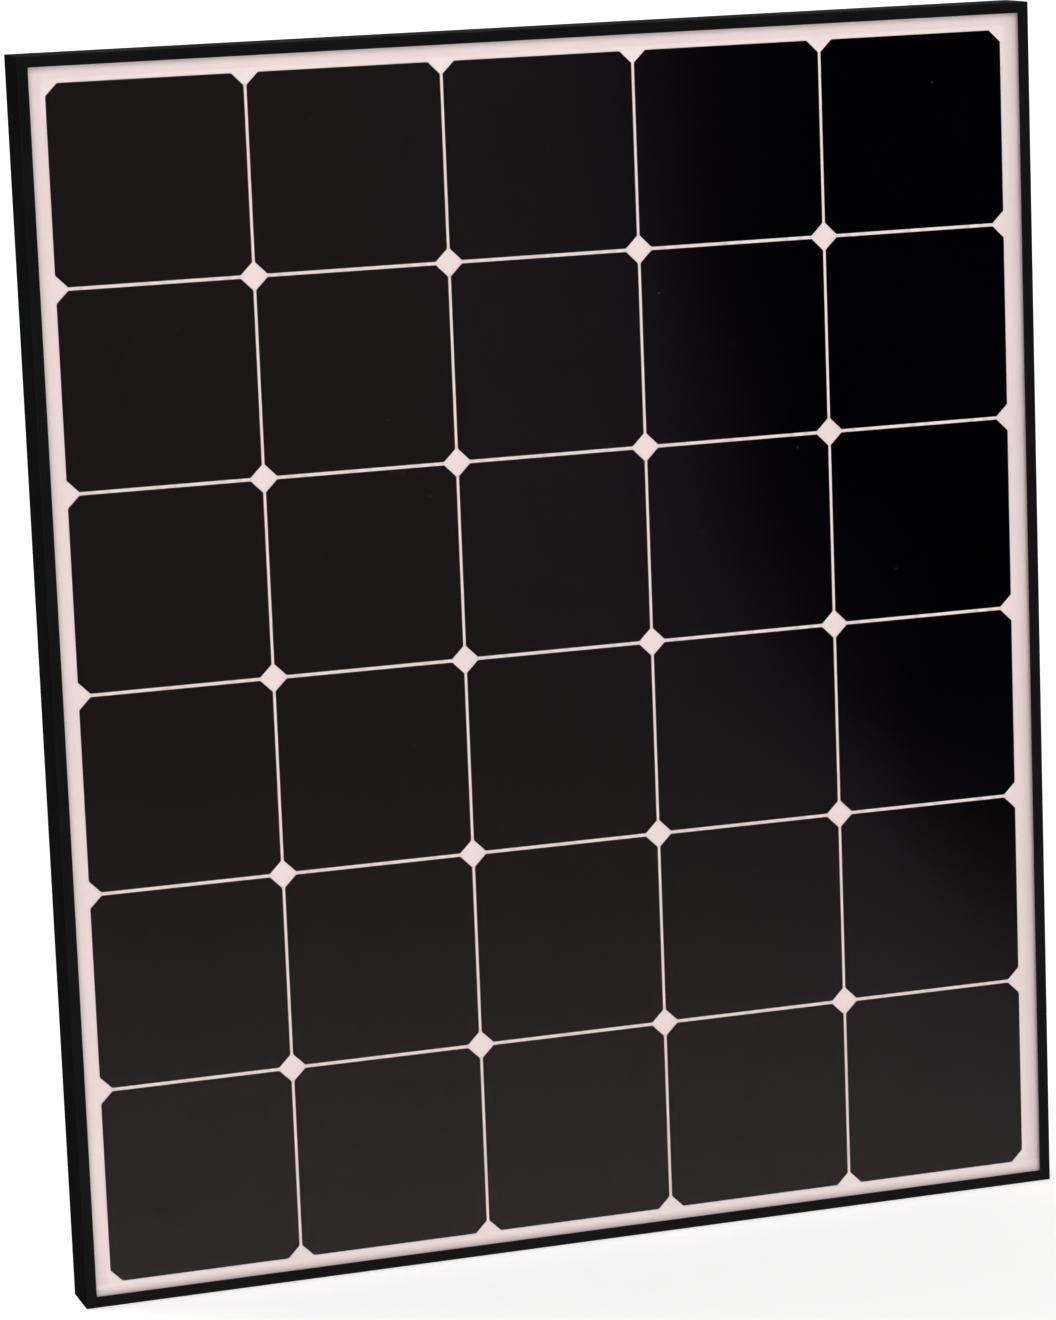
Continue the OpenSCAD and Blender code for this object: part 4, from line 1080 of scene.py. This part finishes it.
def makeLabel():
    label = span("rating_label")
    profile = [(0.06 * mm, label["v0"]), (0, label["v0"] + 0.04 * mm), (0, label["v1"])]
    points, faces = plateShape(label["x1"] - label["x0"], label["z1"] - label["z0"], profile, 2 * mm, 8,
                               (0, (label["z0"] + label["z1"]) / 2))
    evenShading(finishPiece("blankLabel", points, faces, materials["label"], "module", "label_film",
                            ["rating_label"]))


makeClearSheets()
makeBacksheet()
makeLabel()
print("laminate made")


# moulded and metal parts: the CAD's shapes with their edges broken
edgeWork = {
    # node: (piece, width of the rounding in mm, material, slot, body)
    "box_base": ("junctionBox", 0.35, "boxPlastic", "box_plastic", "module"),
    "box_lid": ("junctionBoxLid", 0.45, "lidPlastic", "box_plastic", "lid"),
    "lid_seal": ("lidSeal", 0.15, "sealRubber", "seal_rubber", "module"),
    "hinge_pin": ("hingePin", 0.2, "zincSteel", "steel", "module"),
    "box_adhesive": ("boxAdhesive", 0.2, "whiteSilicone", "box_silicone", "module"),
    "terminal_carrier": ("terminalCarrier", 0.25, "carrierPlastic", "carrier_plastic", "module"),
    "carrier_screws": ("carrierScrews", 0.15, "zincSteel", "steel", "module"),
    "terminal_plate_left": ("terminalPlateLeft", 0.15, "terminalTin", "tinned_copper", "module"),
    "terminal_plate_centre": ("terminalPlateCentre", 0.15, "terminalTin", "tinned_copper", "module"),
    "terminal_plate_right": ("terminalPlateRight", 0.15, "terminalTin", "tinned_copper", "module"),
    "bypass_diode_left": ("bypassDiodeLeft", 0.2, "diodeEpoxy", "diode_epoxy", "module"),
    "bypass_diode_right": ("bypassDiodeRight", 0.2, "diodeEpoxy", "diode_epoxy", "module"),
    "cable_clamps": ("cableClamps", 0.2, "zincSteel", "steel", "module"),
    "clamp_screws": ("clampScrews", 0.18, "zincSteel", "steel", "module"),
}
bevel = {
    "steps": 3,
    "from": 42,                        # degrees between two faces, from which their edge is broken
    "flat": 0.6,                       # degrees up to which two triangles are one flat
}


def breakEdges(node, name, width, material, body):
    # A merged copy of the node's triangles, its flats made whole again, with rounded edges
    mesh = nodes[node].data.copy()
    work = bmesh.new()
    work.from_mesh(mesh)
    bmesh.ops.remove_doubles(work, verts=work.verts, dist=1e-6)
    bmesh.ops.dissolve_limit(work, angle_limit=math.radians(bevel["flat"]), verts=work.verts,
                             edges=work.edges)
    work.to_mesh(mesh)
    work.free()
    mesh.name = name
    piece = placePiece(name, mesh, material, body, [node], 30)
    edges = piece.modifiers.new("brokenEdges", "BEVEL")
    edges.width = width * mm
    edges.segments = bevel["steps"]
    edges.limit_method = "ANGLE"
    edges.angle_limit = math.radians(bevel["from"])
    edges.use_clamp_overlap = False
    edges.miter_outer = "MITER_ARC"
    edges.harden_normals = True
    return piece


for node, (name, width, look, slot, body) in edgeWork.items():
    breakEdges(node, name, width, materials[look], body)
print("moulded parts made")


gland = {
    "flats": 15 * mm,
    "corner": 8.4 * mm,                # turned radius of the hexagon's corners
    "thread": (5.9 * mm, 0.28 * mm, 1.5 * mm),   # radius, depth and pitch
    "bore": 3.5 * mm,
    "seat": 4.7 * mm,                  # bore of the neck around the insert
    "insert": (4.6 * mm, 3.1 * mm),    # its outer and inner radius
    "capBore": 6 * mm,
    "ease": 0.35 * mm,
    "body": (-8 * mm, 15 * mm),        # start and end: places are measured down from the box
    "hexagon": 5 * mm,                 # foot of the body's hexagon
    "cap": (5.4 * mm, 14 * mm, 19 * mm),         # start, foot of the hexagon and foot of the dome
    "nut": (-4.5 * mm, -2 * mm),
    "dome": 2.5 * mm,                  # radius of its shoulder
}
turnedColumns = 96


def turnedShape(profile, x, y, top):
    # Closed profile turned about an upright axis. Each row is (distance down from the box, radius,
    # kind): kind 1 is cut down to the hexagon, kind 2 carries a thread, and 0 is plainly round
    down, radius, kind = np.array(profile, float).T[:, :, None]
    angle = np.linspace(0, 2 * np.pi, turnedColumns + 1)[None, :-1]
    hexagon = gland["flats"] / 2 / np.cos(np.mod(angle, np.pi / 3) - np.pi / 6)
    depth, pitch = gland["thread"][1:]
    helix = depth * (0.5 - 0.5 * np.cos(2 * np.pi * down / pitch + angle))
    cutDown = np.minimum(radius, np.minimum(hexagon, gland["corner"]))
    wide = np.where(kind == 1, cutDown, radius - (kind == 2) * helix)
    points = np.stack([x + wide * np.cos(angle), y + wide * np.sin(angle), top - down + 0 * angle], -1)
    return points.reshape(-1, 3), gridQuads(len(profile), turnedColumns, True).reshape(-1, 4).tolist()


def eased(start, end, radius, kind=0):
    # Rows of one land of a profile, its two ends broken in two steps
    ease = gland["ease"]
    step = math.copysign(ease, end - start)
    inner = radius - ease
    share = 0.3                        # of the step that the bend between them takes
    bend = radius - ease * share
    return [(start, inner, kind), (start + step * share, bend, kind), (start + step, radius, kind),
            (end - step, radius, kind), (end - step * share, bend, kind), (end, inner, kind)]


def threadRows(start, end):
    size, _, pitch = gland["thread"]
    rowsInTurn = 10
    places = np.linspace(start, end, int((end - start) / pitch * rowsInTurn) + 1)
    return [(place, size, 2) for place in places]


def joined(shapes):
    points, faces, start = [], [], 0
    for each, quads in shapes:
        points.append(each)
        faces += [[index + start for index in quad] for quad in quads]
        start += len(each)
    return np.concatenate(points), faces


def makeGlands():
    wide = gland["flats"] / 2 / math.cos(math.pi / 6)
    insertOut, insertIn = gland["insert"]
    size, bore, seat, capBore = gland["thread"][0], gland["bore"], gland["seat"], gland["capBore"]
    start, end = gland["body"]
    foot = gland["hexagon"]
    body = ([(start, size - 0.7 * mm, 0), (start + 0.6 * mm, size, 2)]
            + threadRows(start + 0.8 * mm, -0.2 * mm) + [(0, size - 0.3 * mm, 0)] + eased(0, foot, wide, 1)
            + threadRows(foot, end - 0.6 * mm)
            + [(end, size - 0.7 * mm, 0), (end, seat, 0), (foot, seat, 0), (foot, bore, 0), (start, bore, 0)])
    insert = eased(foot, end, insertOut) + [
        (end, insertIn + 0.2 * mm, 0), (end - 0.2 * mm, insertIn, 0),
        (foot + 0.2 * mm, insertIn, 0), (foot, insertIn + 0.2 * mm, 0)]
    start, waist, tip = gland["cap"]
    shoulder = gland["dome"]
    bend = np.linspace(0, np.pi / 2, 9)
    dome = np.column_stack([tip - 2.6 * mm + shoulder * np.sin(bend), 4.9 * mm + shoulder * np.cos(bend),
                            0 * bend])
    cap = (eased(start, waist, wide, 1) + [(waist, 7.3 * mm, 0), (waist + 0.3 * mm, 7.45 * mm, 0)]
           + dome.tolist()
           + [(tip, bore + 0.3 * mm, 0), (tip - 0.3 * mm, bore, 0), (end + 0.1 * mm, bore, 0),
              (end + 0.1 * mm, capBore, 0), (start + 0.4 * mm, capBore, 0), (start, capBore + 0.3 * mm, 0)])
    start, end = gland["nut"]
    nut = eased(start, end, wide, 1) + [(end, capBore, 0), (start, capBore, 0)]
    nuts = []
    for side in ("left", "right"):
        around = span("gland_cap_" + side)
        x, y = (around["x0"] + around["x1"]) / 2, -(around["v0"] + around["v1"]) / 2
        for part, profile, look, slot in (("body", body, "glandPlastic", "gland_plastic"),
                                          ("insert", insert, "sealRubber", "seal_rubber"),
                                          ("cap", cap, "glandPlastic", "gland_plastic")):
            points, faces = turnedShape(profile, x, y, boxSpan["z0"])
            finishPiece("gland" + part.capitalize() + side.capitalize(), points, faces, materials[look],
                        "module", slot, ["gland_%s_%s" % (part, side)], 38)
        nuts.append(turnedShape(nut, x, y, boxSpan["z0"]))
    finishPiece("glandLocknuts", *joined(nuts), materials["glandPlastic"], "module", "gland_plastic",
                ["gland_locknuts"], 38)


vent = {
    # outlines in mm, each point as far down from the box as the first number and out as the second
    "barb": [(-3.6, 0.02), (-3.6, 2.5), (-3.3, 3.0), (-2.6, 3.2), (-2.2, 3.15), (-2.1, 2.5), (0, 2.5)],
    "flange": [(0, 3.85), (0.15, 4.0), (1.6, 4.0), (1.95, 3.75), (2.0, 3.3)],
    "groove": [(1.8, 3.1), (1.6, 2.9), (1.6, 2.4), (1.8, 2.2), (2.0, 2.0)],
    "hollow": [(2.0, 0.6), (1.7, 0.45), (1.2, 0.4), (1.2, 0.02)],
}


def makeVent():
    # A flange with a turned groove, a stem through the wall and a barb behind it
    around = span("vent_plug")
    x, y = (around["x0"] + around["x1"]) / 2, -(around["v0"] + around["v1"]) / 2
    profile = [(down * mm, out * mm, 0) for line in vent.values() for down, out in line]
    points, faces = turnedShape(profile, x, y, boxSpan["z0"])
    finishPiece("ventPlug", points, faces, materials["ventPlastic"], "module", "vent_plastic",
                ["vent_plug"], 38)


makeGlands()
makeVent()
print("glands and vent made")


# CAD shapes that stay as they are, by their material
kept = {
    "cell": ["cell_string_%d" % number for number in range(1, 6)],
    "maskedTin": ["cell_interconnects", "string_end_tabs"],
    "ribbonTin": ["bus_ribbons_top", "bus_ribbons_bottom"]
                 + [kind + side for kind in ("collector_ribbon_", "lead_")
                    for side in ("left", "centre", "right")],
    "whiteStrip": ["ribbon_insulation", "cover_strip_top", "cover_strip_bottom"],
    "rawAluminium": ["corner_key_" + corner
                     for corner in ("top_left", "top_right", "bottom_left", "bottom_right")],
    "blackSilicone": ["edge_seal"],
}
for look, names in kept.items():
    for name in names:
        holder = nodes[name]
        holder.data.materials.clear()
        holder.data.materials.append(materials[look])
print("kept shapes finished")
